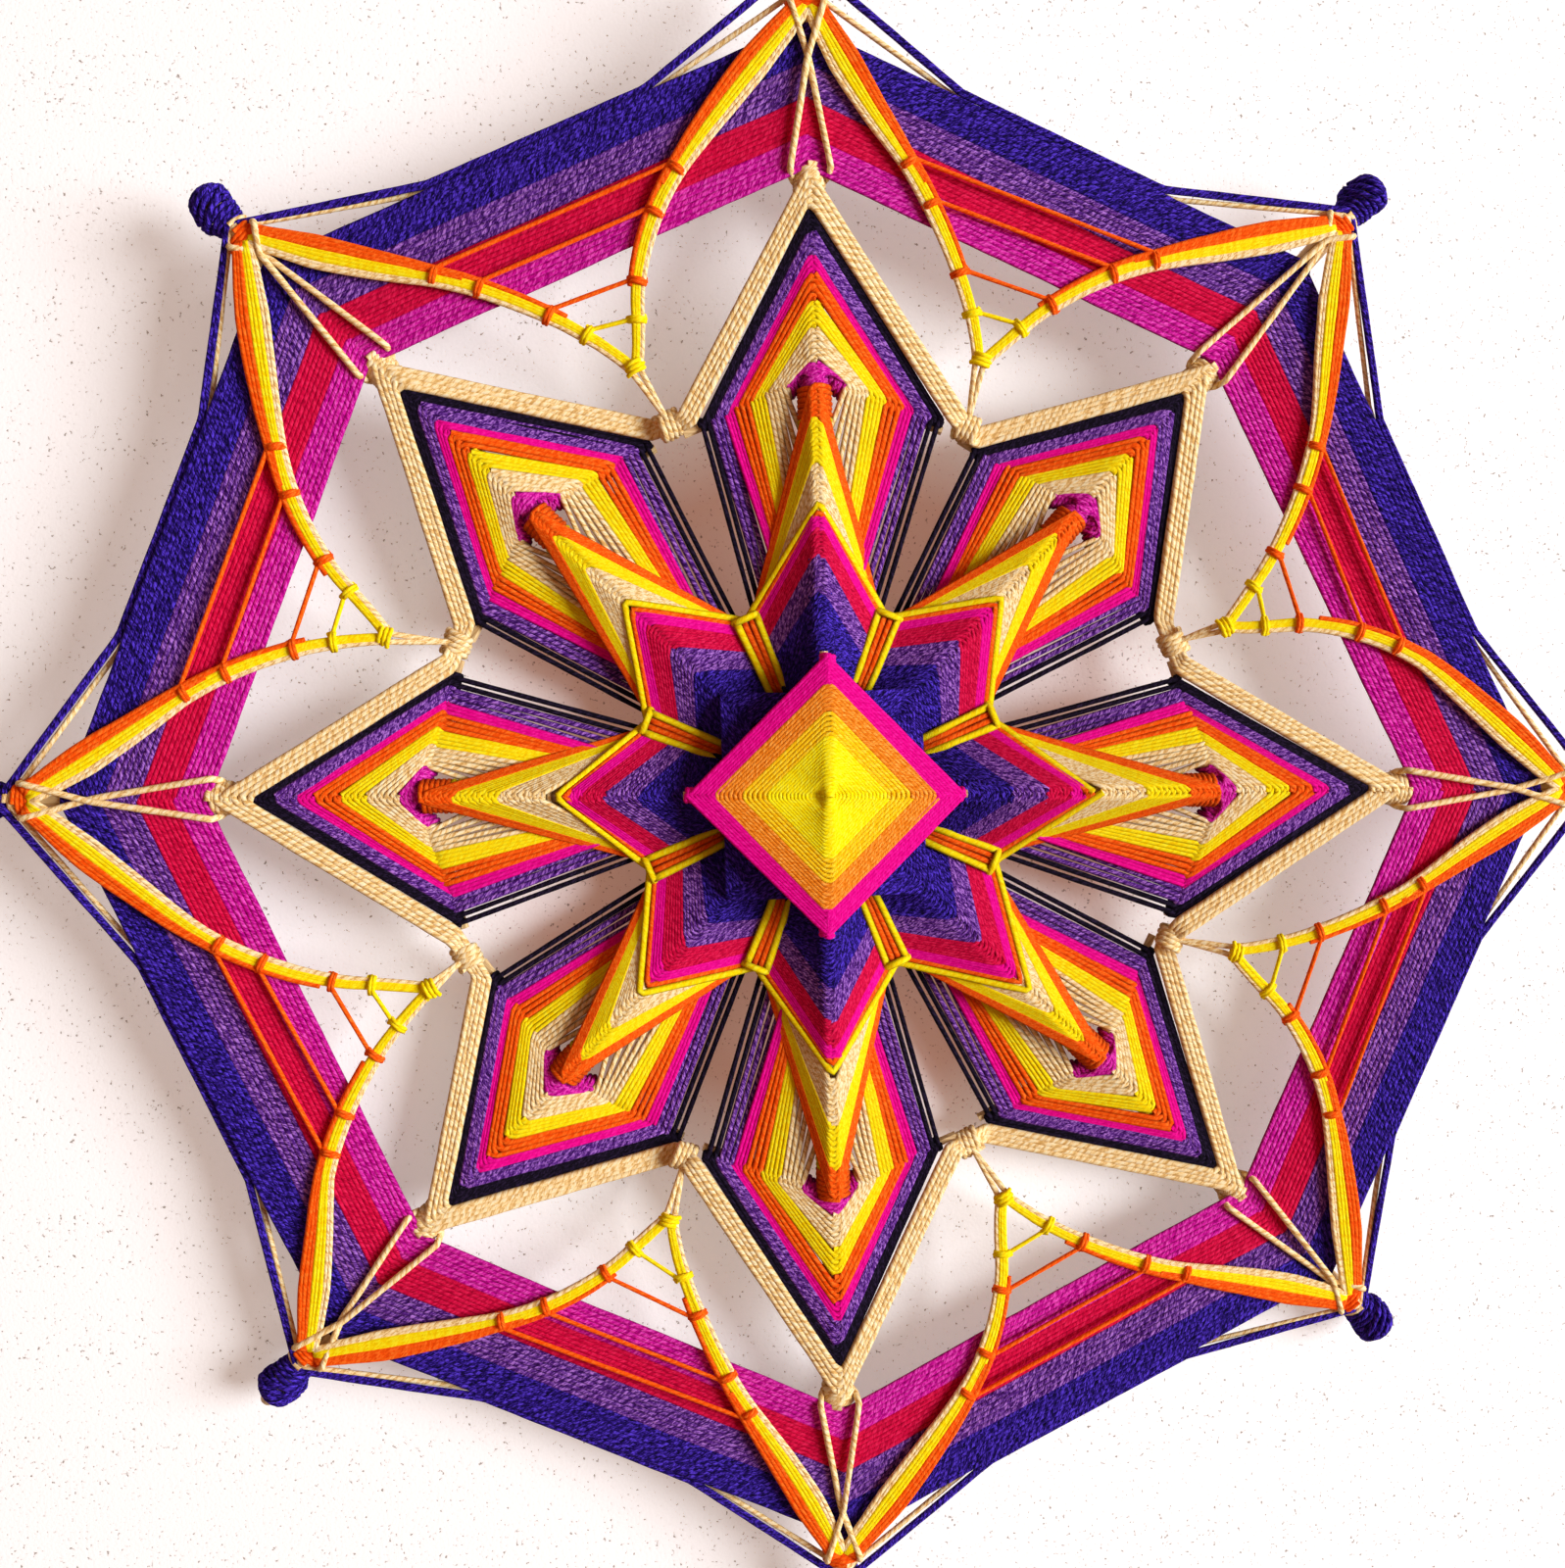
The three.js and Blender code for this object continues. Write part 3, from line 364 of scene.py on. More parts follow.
def endWrap(spoke, place, end):
    return wrapRod(spoke, place + end["place"], rodRadius + end["clear"], end["length"], turns=end["turns"])


def besideRod(spoke, place, side, rows):
    return [at(spoke, place + along, side * across, spoke["depth"] + depth) for along, across, depth in rows]


def coil(centre, axis, sideways, halfWidth, halfDepth, length, turns, steps=12):
    points = []
    count = turns * steps
    for k in range(count + 1):
        turn = 2 * math.pi * k / steps
        points.append(centre + axis * (length * (k / count - 0.5)) + sideways * (halfWidth * math.cos(turn))
                      + toViewer * (halfDepth * math.sin(turn)))
    return points


def spread(first, last, count):
    return [mix(first, last, (k + 0.5) / count) for k in range(count)]


def spiral(first, last, count, corners, cornerAt):
    step = (last - first) / count
    points = []
    for place in spread(first, last, count):
        for k in range(corners):
            points += cornerAt(k, place + step * (k / corners - 0.5))
    return points + cornerAt(0, last)[:1]


# Petals: each a diamond wound over the rod's tip, both arms of its cross-stick and back behind the rod.
petal = {
    "crossing": 98.0, "shifts": [1, -3.5, 2.5, -0.5, -0.5, -4, 2, 0.5], "stickEnds": 87.5, "stickReach": 34.1,
    "stickRadius": 1.1, "stickDrop": 3.9, "armStart": 7.5, "last": 24.2,
    "capTips": [103.3, 99.7, 104.5, 104.5, 102.8, 101.3, 105.0, 103.3], "capGap": 0.6, "tipGain": 1.3, "tipLag": 1.3,
    "lastTip": 135.5, "pile": 3.8, "pileEnd": 20, "capLead": 3.0, "capTurns": 4.6, "armLength": 32, "lagEnd": 20,
    "cornerAdvance": 0.9, "cornerSink": 0.3, "tipAdvance": 1.0, "tipSink": 0.5,
    "gain": (0.2, 0.4, 0.7),  # the share of a turn's step that the two corners and the end have gained
    "slide": [-2, -2, -2, -2, 1.2, 2, -2.2, -1], "lift": [0, 0, 1, 1.2, 0.4, 0.7, 1.1, 1.1],
    "reach": [0, -4, 2.8, 3.0, -0.5, 0.2, 6.4, 3.0], "underStar": 44.0, "underDepth": 4.6,
    "bands": [  # yarn, its radius, turns out along the arm, where they reach the rod as a share of the crossing
        ("rose", 0.66, [-4.6, -3.6, -2.6, -1.6, -0.7], (0.985, 0.97)),
        ("tan", 0.7, [0.4, 1.5, 2.6, 3.7, 4.8], (0.8, 0.32)),
        ("yellow", 0.7, [5.9, 7.0, 8.1, 9.1], (0.28, 0.26)),
        ("orange", 0.74, [10.3, 11.8, 13.3], (0.26, 0.25)),
        ("magenta", 0.66, [14.6, 15.6, 16.5], (0.25, 0.22)),
        ("purple", 0.72, [17.6, 18.9, 20.1], (0.14, 0.08)),
        ("black", 0.64, [21.4, 23.1], (0.08, 0.04)),
    ],
    "fans": {  # how far from the rod each turn passes under the star, on the tight and the loose side
        "purple": ([8.6, 10.2, 11.8], [8.0, 10.3, 12.4]),
        "black": ([13.6, 15.5], [13.8, 15.8]),
    },
    "outerTurns": {"black": [20.6, 22.3, 23.9], "purple": [17.7, 19.2]},  # turns that only cross the outer half
}
for spoke in spokes:
    spoke["crossing"] = petal["crossing"] + petal["shifts"][spoke["index"]]
    spoke["sweep"] = math.asin((spoke["crossing"] - petal["stickEnds"]) / petal["stickReach"])


def petalCorner(spoke, side, outward, radius, q):
    ahead, beside = math.sin(spoke["sweep"]), math.cos(spoke["sweep"])
    m = petal["armStart"] + q
    # The first turns lie on the crossing's own thickness.
    pile = petal["pile"] * max(0, 1 - (q + petal["capTurns"]) / petal["pileEnd"]) / 2
    forward = petal["capLead"] * max(0, -q) / petal["capTurns"]
    slide = petal["slide"][spoke["index"]] * m / petal["armLength"]
    rise = petal["lift"][spoke["index"]] * m / petal["armLength"]
    centre = at(spoke, spoke["crossing"] - m * ahead + forward + rise, side * m * beside + slide,
                spoke["depth"] - petal["stickDrop"] + pile)
    axis = at(spoke, -ahead, side * beside, 0)
    over = at(spoke, beside, side * ahead, 0) * (1 if outward else -1)
    return wrap(centre, axis, over, toViewer, petal["stickRadius"] + radius + pile, petal["cornerAdvance"],
                sink=petal["cornerSink"])


def petalTip(spoke, radius, q):
    first = petal["capTips"][spoke["index"]] + petal["capGap"]
    last = petal["lastTip"] + petal["reach"][spoke["index"]]
    lag = q - petal["tipLag"] * max(0, 1 - max(0, q) / petal["lagEnd"])
    tip = mix(first, last, lag / petal["last"]) if lag > 0 else first + petal["tipGain"] * lag
    return wrapRod(spoke, tip, rodRadius + radius, petal["tipAdvance"], sink=petal["tipSink"])


def petalStrand(spoke, colour, radius, stops, inner):
    points = []
    step = stops[1] - stops[0]
    below = min(petal["underDepth"], spoke["depth"] - petal["stickDrop"])
    tight, loose = petal["fans"].get(colour, ([], []))
    for k, q in enumerate(stops):
        end = mix(*inner, k / (len(stops) - 1)) * spoke["crossing"]
        points += petalTip(spoke, radius, q)
        points += petalCorner(spoke, 1, False, radius, q + step * petal["gain"][0])
        if tight:
            points.append(at(spoke, petal["underStar"], tight[k], below))
        points += wrap(at(spoke, end, 0, spoke["depth"]), -spoke["along"], -spoke["across"], -toViewer,
                       rodRadius + radius, petal["tipAdvance"])
        if loose:
            points.append(at(spoke, petal["underStar"], -loose[k], below))
        points += petalCorner(spoke, -1, True, radius, q + step * petal["gain"][1])
    return points + petalTip(spoke, radius, stops[-1] + step * petal["gain"][2])[:1]


for spoke in spokes:
    pieces = []
    for band, (colour, radius, stops, inner) in enumerate(petal["bands"]):
        strands = [petalStrand(spoke, colour, radius, stops, inner)]
        for q in petal["outerTurns"].get(colour, []):
            strands.append(petalCorner(spoke, -1, True, radius, q) + petalTip(spoke, radius, q)
                           + petalCorner(spoke, 1, False, radius, q))
        pieces.append(yarnMesh("petal_band", colour, strands, radius, wander=0.3, flatness=0.75, groove=0.6,
                               seed=band + 10 * spoke["index"]))
    finishPiece(pieces, "petal_yarn_" + spoke["name"], ["petal_winding_" + spoke["name"]])
print("petals wound")

# Tan border: four strands round all the petals, lashed together between each two.
border = {"radius": 0.9, "advance": 1.6, "strands": 4, "tip": 137.4, "tipStep": 2.1, "shoulder": (88.6, 31.5),
          "shoulderStep": (0.6, 0.97), "lift": 2.4, "lashTurns": 4, "lashWidth": 5.0, "lashHeight": 3.0,
          "lashDepth": 1.7, "knot": 144.2, "knotLength": 4.2, "knotTurns": 4}


def borderTip(spoke, strand):
    tip = border["tip"] + border["tipStep"] * strand + petal["reach"][spoke["index"]]
    return wrapRod(spoke, tip, rodRadius + border["radius"], border["advance"])


def borderShoulder(spoke, side, strand):
    along = border["shoulder"][0] + border["shoulderStep"][0] * strand + petal["lift"][spoke["index"]]
    across = border["shoulder"][1] + border["shoulderStep"][1] * strand
    return at(spoke, along, side * across + petal["slide"][spoke["index"]],
              spoke["depth"] - petal["stickDrop"] + border["lift"])


def bridgePoint(gap, strand):
    return mix(borderShoulder(gap["first"], 1, strand), borderShoulder(gap["second"], -1, strand), 0.5)


borderStrands = []
for strand in range(border["strands"]):
    points = []
    for gap in sectors:
        points += borderTip(gap["first"], strand)
        points.append(borderShoulder(gap["first"], 1, strand))
        points.append(borderShoulder(gap["second"], -1, strand))
    borderStrands.append(points + borderTip(spokes[0], strand)[:1])
for gap in sectors:
    centre = mix(bridgePoint(gap, 0), bridgePoint(gap, border["strands"] - 1), 0.5)
    borderStrands.append(coil(centre, gap["across"], gap["along"], border["lashHeight"], border["lashDepth"],
                              border["lashWidth"], border["lashTurns"]))
    knot = border["knot"] + petal["reach"][gap["first"]["index"]]
    borderStrands.append(wrapRod(gap["first"], knot, rodRadius + border["radius"], border["knotLength"],
                                 turns=border["knotTurns"]))
woundPiece("tan_border", "tan", "tan", borderStrands, border["radius"], wander=0.4, groove=0.2, seed=71)

# Star: eight-pointed bands over all the rods, pulled in between them by the yellow strips.
star = {
    "valleyBase": 11, "valleyShare": 0.48, "rootShare": 0.9, "wrapRadius": 4.9, "valleyDepth": 5.6,
    "valleySink": 4.2, "valleyGain": 0.5, "sinkReach": 28.5, "first": 17, "last": 73.6,
    "bulge": 4.8, "bulgeRise": 50, "bulgeFall": 20,  # the level and upright points reach further in the middle bands
    "tipScale": [0.925, 0.915, 0.972, 0.935, 0.89, 0.92, 0.935, 0.98],
    # yarn, its radius, from and to along the rods, turns
    "bands": [("navy", 0.62, 17, 45.5, 24), ("purple", 0.62, 45.5, 54.3, 7), ("crimson", 0.62, 54.3, 63, 7),
              ("magenta", 0.64, 63, 68, 4), ("orange", 0.8, 68, 70.2, 1), ("yellow", 0.95, 70.2, 73.6, 1)],
    "advance": 0.9, "sink": 1.2, "stripInner": 26, "stripOuter": 46.5, "stripInnerHalf": 1.9, "stripOuterHalf": 2.6,
    "stripLift": 1.6, "stripTuck": 3.8, "stripTurnIn": (0.12, 0.85), "stripMiddle": 0.33, "stripRaise": 0.2,
    "endWidth": 1.25, "endLift": 0.8, "endDrop": 1.4,
    "square": {"first": 24.6, "last": 33.6, "turns": 9, "step": 0.15, "corner": (13.0, 11.3), "cornerHalf": 0.5,
               "side": 16.8, "sideShare": 0.7},  # the flat square under the eye
}


def starValley(tip):
    return min(star["rootShare"] * tip, star["valleyBase"] + star["valleyShare"] * tip)


def starLevel(tip):
    return star["valleyDepth"] - star["valleySink"] * max(0, 1 - (tip - star["first"]) / star["sinkReach"])


def starTip(spoke, tip, scale, radius, turns):
    bulge = 0
    if spoke["index"] % 2 == 0:
        bulge = star["bulge"] * max(0, min(tip / star["bulgeRise"], (star["last"] - tip) / star["bulgeFall"], 1))
    return wrapRod(spoke, tip * scale[spoke["index"]] + bulge, radius, star["advance"], turns=turns,
                   sink=star["sink"])


def starLoop(tip, scale, valley, step, radius, level, turns=1):
    points = []
    for gap in sectors:
        spoke = gap["first"]
        share = step * spoke["index"] / 8
        points += starTip(spoke, tip + share, scale, radius, turns)
        points.append(at(gap, valley + share * star["valleyGain"], 0, level))
    return points


def stripStrand(gap, offset, lift):
    inner = at(gap, star["stripInner"], offset * star["stripInnerHalf"], 0)
    outer = at(gap, star["stripOuter"], offset * star["stripOuterHalf"], 0)
    low = toViewer * (starLevel((star["stripInner"] - star["valleyBase"]) / star["valleyShare"]) + lift)
    high = toViewer * (star["valleyDepth"] + lift)
    behind = toViewer * -star["stripTuck"]
    return [mix(inner, outer, star["stripTurnIn"][0]) + low + behind, inner + low, mix(inner, outer, 0.33) + high,
            mix(inner, outer, 0.66) + high, outer + high, mix(inner, outer, star["stripTurnIn"][1]) + high + behind]


def starSquare(square):
    points = []
    for k in range(square["turns"]):
        share = k / (square["turns"] - 1)
        for spoke in spokes:
            r = mix(square["first"], square["last"], share) + spoke["index"] * square["step"]
            if spoke["index"] % 2:
                height = mix(*square["corner"], share)
                points += [at(spoke, r, side * square["cornerHalf"], height) for side in (-1, 1)]
            else:
                points.append(at(spoke, r * square["sideShare"], 0, square["side"]))
    return points


def stripEnd(gap):
    outer = gap["along"] * star["stripOuter"] + toViewer * (star["valleyDepth"] + star["stripLift"] + star["endLift"])
    return [outer + gap["across"] * (star["stripOuterHalf"] * star["endWidth"] * s)
            + toViewer * (0 if abs(s) < 1 else -star["endDrop"]) for s in (-1, -0.6, 0.6, 1)]


for colour, radius, first, last, count in star["bands"]:
    step = (last - first) / count
    turns = min(1, count - 1)  # a single strand only passes over the rods
    points = []
    for tip in spread(first, last, count):
        points += starLoop(tip - step / 2, star["tipScale"], starValley(tip), step, star["wrapRadius"], starLevel(tip),
                           turns)
    strands = [points + starTip(spokes[0], last, star["tipScale"], star["wrapRadius"], turns)[:1]]
    if colour == "navy":
        strands.append(starSquare(star["square"]))
    if colour == "orange":
        strands += [stripStrand(gap, side * star["stripMiddle"], star["stripLift"]) for gap in sectors
                    for side in (-1, 1)]
    if colour == "yellow":
        strands += [stripStrand(gap, side, star["stripLift"] + star["stripRaise"]) for gap in sectors
                    for side in (-1, 1)]
        strands += [stripEnd(gap) for gap in sectors]
    woundPiece("star_" + colour, colour, colour, strands, radius, flatness=0.6, groove=0.55, seed=83)

# Cones: the bands that run from under the star's valleys out to each petal's eye.
cones = {"wrapRadius": {"tan": 4.7, "yellow": 4.9, "orange": 5.0}, "level": 4.6,
         "tipScale": [1.005, 0.95, 1.003, 0.995, 0.99, 0.972, 1.022, 0.998],
         "bands": [("tan", 0.72, 66.5, 79.4, 9), ("yellow", 0.7, 79.4, 90.2, 8), ("orange", 0.72, 90.2, 97.6, 6)],
         "valleys": {"tan": (41.0, 41.6), "yellow": (41.6, 42.4), "orange": (42.4, 43.4)}}
for colour, radius, first, last, count in cones["bands"]:
    points = []
    step = (last - first) / count
    for k, tip in enumerate(spread(first, last, count)):
        valley = mix(*cones["valleys"][colour], k / (count - 1))
        points += starLoop(tip - step / 2, cones["tipScale"], valley, step, cones["wrapRadius"][colour], cones["level"])
    points += starTip(spokes[0], last, cones["tipScale"], cones["wrapRadius"][colour], 1)[:1]
    woundPiece("cone_" + colour, colour, colour, [points], radius, flatness=0.7, groove=0.5, seed=97)
print("star and cones wound")

# Eye: a square of yarn on its own two sticks, rising to the middle.
eye = {"wrapRadius": 1.7, "coreRadius": 0.7, "coreGain": 0.2, "rise": 3.4, "reach": 33.8, "advance": 0.6, "sink": 0.3,
       "corner": 0.8, "cornerPull": 0.15,  # the bands below: node, yarn, its radius, from and to, turns
       "bands": [("yellow", "lemon", 0.62, 0.4, 14.6, 16), ("gold", "gold", 0.6, 14.6, 20.6, 5),
                 ("amber", "amber", 0.62, 20.6, 27.0, 6), ("magenta", "magenta", 0.72, 27.0, 33.8, 7)]}
eyeCorners = [(Vector((1, 0, 0)), "eye_stick_level"), (Vector((0, 0, 1)), "eye_stick_upright"),
              (Vector((-1, 0, 0)), "eye_stick_level"), (Vector((0, 0, -1)), "eye_stick_upright")]


def eyeCorner(k, r, turns):
    axis, stick = eyeCorners[k]
    over = axis.cross(toViewer)
    depth = axisDepth(stick) + eye["rise"] * (1 - r / eye["reach"])
    radius = min(eye["wrapRadius"], eye["coreRadius"] + r * eye["coreGain"])
    if turns:
        return wrap(axis * r + toViewer * depth, axis, over, toViewer, radius, eye["advance"], turns=turns,
                    sink=eye["sink"])
    crest = axis * r + toViewer * (depth + radius)
    return [crest + over * (side * eye["corner"]) - axis * eye["cornerPull"] for side in (1, -1)]


# The eye's yellow band is wound in the lighter copy of the yellow yarn, as painted light.
for label, colour, radius, first, last, count in eye["bands"]:
    turns = 1 if colour == "magenta" else 0
    points = spiral(first, last, count, len(eyeCorners), lambda k, r: eyeCorner(k, r, turns))
    woundPiece("eye_" + label, label, colour, [points], radius, wander=0.1, flatness=0.75, groove=0.12, step=0.8,
               seed=113)
print("eye wound")

# Rim: four colours of yarn round all eight half rods. A band is its node, yarn, from and to, and turns.
rim = {"yarn": 0.74, "wrapRadius": 3.2, "advance": 0.8, "sink": 0.4, "shifts": [-1, -5, 0, 0, -2.5, -2.5, 4.5, -1],
       "bands": [("magenta", "rose", 148.2, 156.0, 6), ("crimson", "crimson", 156.0, 164.4, 7),
                 ("purple", "purple", 164.4, 172.4, 6), ("navy", "navy", 172.4, 181.6, 8)]}


def rimCorner(k, r):
    return wrapRod(spokes[k], r + rim["shifts"][k], rim["wrapRadius"], rim["advance"], sink=rim["sink"])


for label, colour, first, last, count in rim["bands"]:
    points = spiral(first, last, count, len(spokes), rimCorner)
    woundPiece("rim_" + label, label, colour, [points], rim["yarn"], wander=0.7, unevenness=0.3, flatness=0.65,
               groove=0.45, seed=131)
print("rim wound")


def rimDepth(point):
    angle = math.atan2(point.z, point.x)
    for gap in sectors:
        start = gap["first"]["angle"]
        turn = (angle - start) % (2 * math.pi)
        if turn <= 2 * gap["half"]:
            return mix(gap["first"]["depth"], gap["second"]["depth"], turn / (2 * gap["half"])) + rim["wrapRadius"]
    return spokes[0]["depth"] + rim["wrapRadius"]


# Arcs: bundles of orange, yellow and tan from each rod's end down to the border, bound and laced across.
arcs = {
    "route": [(184.6, 1.6), (181.6, 3.6), (177.6, 6.6), (169.5, 12.6), (161, 18.8), (152.5, 25.0), (144, 30.5),
              (135.4, 34.8), (126.8, 38.0), (118, 40.2), (102.8, 42)], "samples": 30, "probe": 0.02,
    "yarn": {"orange": 0.8, "yellow": 0.75, "tan": 0.62}, "thread": 0.56, "lift": 1.9,
    "dip": 2.5, "dipStart": 148, "dipLength": 48,  # how the lower half comes down to the border
    "tipWidth": 3.4, "tipEnd": 186, "tipTaper": 14, "start": 184, "widthStart": 6.8, "pinch": 152.0, "pinchWidth": 1.6,
    "junction": 111, "widthEnd": 2.2, "drawnHalf": math.radians(22.3),
    "tips": [0, 2, 0, 2.5, 1.5, 0, 4.5, 2.5], "root": 104, "span": 80,  # each rod's end, fading to the root
    "lean": [3, 0.5, 3.5, 3, 2, 1.7, 4, 3], "leanMiddle": 147, "leanReach": 37,
    "junctions": [(107, -2.9), (110.9, 1.2), (110.9, 0.5), (110.9, 3.8), (105.6, 4.3), (111.3, 1.2), (110.9, 0.5),
                  (110.9, 1)], "pullFrom": 103, "pullReach": 47,
    "tuck": [(184, 2.5, -2), (185, 2.8, 1)],  # along, across and depth where the strands come round the rod
    "strands": [  # yarn, place across the bundle above and below the first binding, where it stops
        ("orange", -1.0, -1.0, 127), ("orange", -0.69, -0.75, 146), ("orange", -0.38, -0.5, 146),
        ("yellow", -0.06, -0.42, 0), ("yellow", 0.22, 0.05, 0), ("yellow", 0.5, 0.45, 0),
        ("tan", 0.8, 0.8, 0), ("tan", 1.06, 1.06, 0),
    ],
    "bindings": [("orange", 151.5), ("orange", 143.2), ("orange", 129.5), ("yellow", 121.3)],
    "bindingShifts": [-4.5, -0.5, 0, 0, -4, 0, 0, 0], "bindingCoil": (2.1, 1.3, 1.4, 2),
    "bindingBlend": 6, "tipShare": 0.6, "bridgeLift": 1.4,
    "knotCoil": (2.3, 1.4, 3.2, 3), "knotOut": 0.6, "knotDrop": 1.8,
    "endWrap": {"place": 186.2, "clear": 2.2, "length": 4.2, "turns": 4},
}


def legGap(spoke, side):
    return spoke["index"] if side > 0 else spoke["index"] - 1


def arcCentre(spoke, side, share):
    gap = sectors[legGap(spoke, side)]
    meet = arcs["junctions"][legGap(spoke, side)]
    route = arcs["route"]
    place = share * (len(route) - 1)
    k = min(int(place), len(route) - 2)
    t = place - k
    p = [Vector(route[min(max(j, 0), len(route) - 1)]) for j in (k - 1, k, k + 1, k + 2)]
    flat = 0.5 * (2 * p[1] + (p[2] - p[0]) * t + (2 * p[0] - 5 * p[1] + 4 * p[2] - p[3]) * t * t
                  + (3 * p[1] - p[0] - 3 * p[2] + p[3]) * t ** 3)
    along = flat.x + arcs["tips"][spoke["index"]] * (flat.x - arcs["root"]) / arcs["span"]
    lean = arcs["lean"][spoke["index"]] * max(0, 1 - ((flat.x - arcs["leanMiddle"]) / arcs["leanReach"]) ** 2)
    pull = 1 - min(1, max(0, (flat.x - arcs["pullFrom"]) / arcs["pullReach"]))
    shift = at(gap, meet[0] - arcs["junction"], meet[1], 0)
    across = side * flat.y * math.tan(gap["half"]) / math.tan(arcs["drawnHalf"]) + lean
    return at(spoke, along, across, 0) + shift * pull


def arcPoint(spoke, side, share, offset):
    here = arcCentre(spoke, side, share)
    before, after = max(0, share - arcs["probe"]), min(1, share + arcs["probe"])
    run = (arcCentre(spoke, side, after) - arcCentre(spoke, side, before)).normalized()
    sideways = run.cross(toViewer)
    if sideways.dot(spoke["across"]) * side < 0:
        sideways = -sideways
    radius = here.length
    pinched = arcs["widthEnd"] * arcs["pinchWidth"]
    if radius > arcs["pinch"]:
        narrow = min(1, max(0, (arcs["start"] - radius) / (arcs["start"] - arcs["pinch"]))) ** 2
        width = mix(arcs["widthStart"], pinched, narrow)
    else:
        width = mix(pinched, arcs["widthEnd"], (arcs["pinch"] - radius) / (arcs["pinch"] - arcs["junction"]))
    fromTip = arcs["tipEnd"] + arcs["tips"][spoke["index"]] - radius
    width = mix(arcs["tipWidth"], width, min(1, max(0, fromTip / arcs["tipTaper"])))
    lay = rimDepth(here) + arcs["lift"]
    if radius < arcs["dipStart"]:
        lay = mix(lay, lay - arcs["dip"], (arcs["dipStart"] - radius) / arcs["dipLength"])
    return here - sideways * (offset * width / 2) + toViewer * lay


def arcShareAt(spoke, side, radius):
    radius += arcs["tips"][spoke["index"]] * arcs["tipShare"] + arcs["bindingShifts"][legGap(spoke, side)]
    low, high = 0.0, 1.0
    for _ in range(30):
        middle = (low + high) / 2
        if arcCentre(spoke, side, middle).length > radius:
            low = middle
        else:
            high = middle
    return low


arcStrands = {"orange": [], "yellow": [], "tan": []}
arcThreads = {"orange": [], "yellow": []}
for gap in sectors:
    legs = ((gap["first"], 1), (gap["second"], -1))
    for spoke, side in legs:
        for colour, above, below, stop in arcs["strands"]:
            points = besideRod(spoke, arcs["tips"][spoke["index"]], -side, arcs["tuck"])
            for k in range(arcs["samples"] + 1):
                share = k / arcs["samples"]
                radius = arcCentre(spoke, side, share).length
                if radius > stop:
                    offset = mix(above, below, min(1, max(0, (arcs["pinch"] - radius) / arcs["bindingBlend"])))
                    points.append(arcPoint(spoke, side, share, offset))
            if colour == "tan":
                points.append(bridgePoint(gap, border["strands"] - 1) + toViewer * arcs["bridgeLift"])
            arcStrands[colour].append(points)
        for colour, radius in arcs["bindings"]:
            share = arcShareAt(spoke, side, radius)
            here = arcPoint(spoke, side, share, 0)
            before, after = share - arcs["probe"] / 2, share + arcs["probe"] / 2
            run = (arcPoint(spoke, side, before, 0) - arcPoint(spoke, side, after, 0)).normalized()
            arcThreads[colour].append(coil(here, run, run.cross(toViewer).normalized(), *arcs["bindingCoil"]))
    for colour, radius in arcs["bindings"]:
        ends = [arcPoint(spoke, side, arcShareAt(spoke, side, radius), -1) for spoke, side in legs]
        arcThreads[colour].append([mix(*ends, k / 8) for k in range(9)])
    index = gap["first"]["index"]
    arcThreads["orange"].append(endWrap(gap["first"], arcs["tips"][index], arcs["endWrap"]))
    meet = arcs["junctions"][index]
    knot = at(gap, meet[0] + arcs["knotOut"], meet[1], rimDepth(gap["along"]) + arcs["lift"] - arcs["knotDrop"])
    arcThreads["yellow"].append(coil(knot, gap["along"], gap["across"], *arcs["knotCoil"]))
for colour, strands in arcStrands.items():
    pieces = [yarnMesh("arc_" + colour + "_yarn", colour, strands, arcs["yarn"][colour], wander=0.3, seed=151)]
    if colour in arcThreads:
        pieces.append(yarnMesh("arc_thread", colour, arcThreads[colour], arcs["thread"], wander=0.2, seed=157))
    finishPiece(pieces, "arc_" + colour + "_yarn", ["arc_" + colour])
print("arcs laid")

# Edge strands from knob to knob, the knobs themselves, and the tan ties over the rim.
edge = {"navyRod": 194.4, "navyTouch": 0.3, "navyDrop": 1.2, "navyYarn": 0.6, "navyStep": 0.8,
        "tanRod": 189.4, "tanTouch": 0.27, "tanDrop": 2.6, "tanUnder": 5.0, "tanYarn": 0.66,
        "rimRadius": 182.6, "clear": 0.8, "advance": 0.8, "navyShifts": [0, -2, 1, -2, -1.5, -4, 2, -2]}
knob = {"profile": [(191.6, 3.0), (193.2, 3.5), (195.2, 4.2), (197.5, 4.5), (200.5, 4.6), (202.3, 4.1), (203.1, 2.9),
                    (203.3, 1.9)], "turns": 12, "shifts": [0, 0.5, 0, 0.5, 0, -1.5, 2, 0],
        "steps": 12, "crossed": 3, "crossPlace": 198.6, "crossSwing": 2.6, "crossPace": 0.86, "crossRadius": 5.1}
tie = {"yarn": 0.8, "knot": 143.4, "tip": 186.2, "cross": [172, 183, 172.5, 183, 172, 174, 178, 181],
       "crossSide": 0.3, "crossLift": 1.6, "crossGap": 0.6,
       "knotRows": [(-0.6, 1.5, -2.8), (0, 4.2, 0.4), (1.8, 4.8, 4.5)],  # along, across and depth from the rod
       "tipRows": [(0, 4.2, 5.8), (2.0, 3.6, 1.0), (2.6, 1.0, -2.9)],
       "endWrap": {"place": 3.0, "clear": 1.0, "length": 2.4, "turns": 2}}


def edgePoint(gap, share, drop):
    first, second = gap["first"], gap["second"]
    ends = [spoke["along"] * (edge["rimRadius"] + rim["shifts"][spoke["index"]]) for spoke in (first, second)]
    flat = mix(*ends, share)
    return flat + toViewer * (mix(first["depth"], second["depth"], share) + rim["wrapRadius"] - drop)


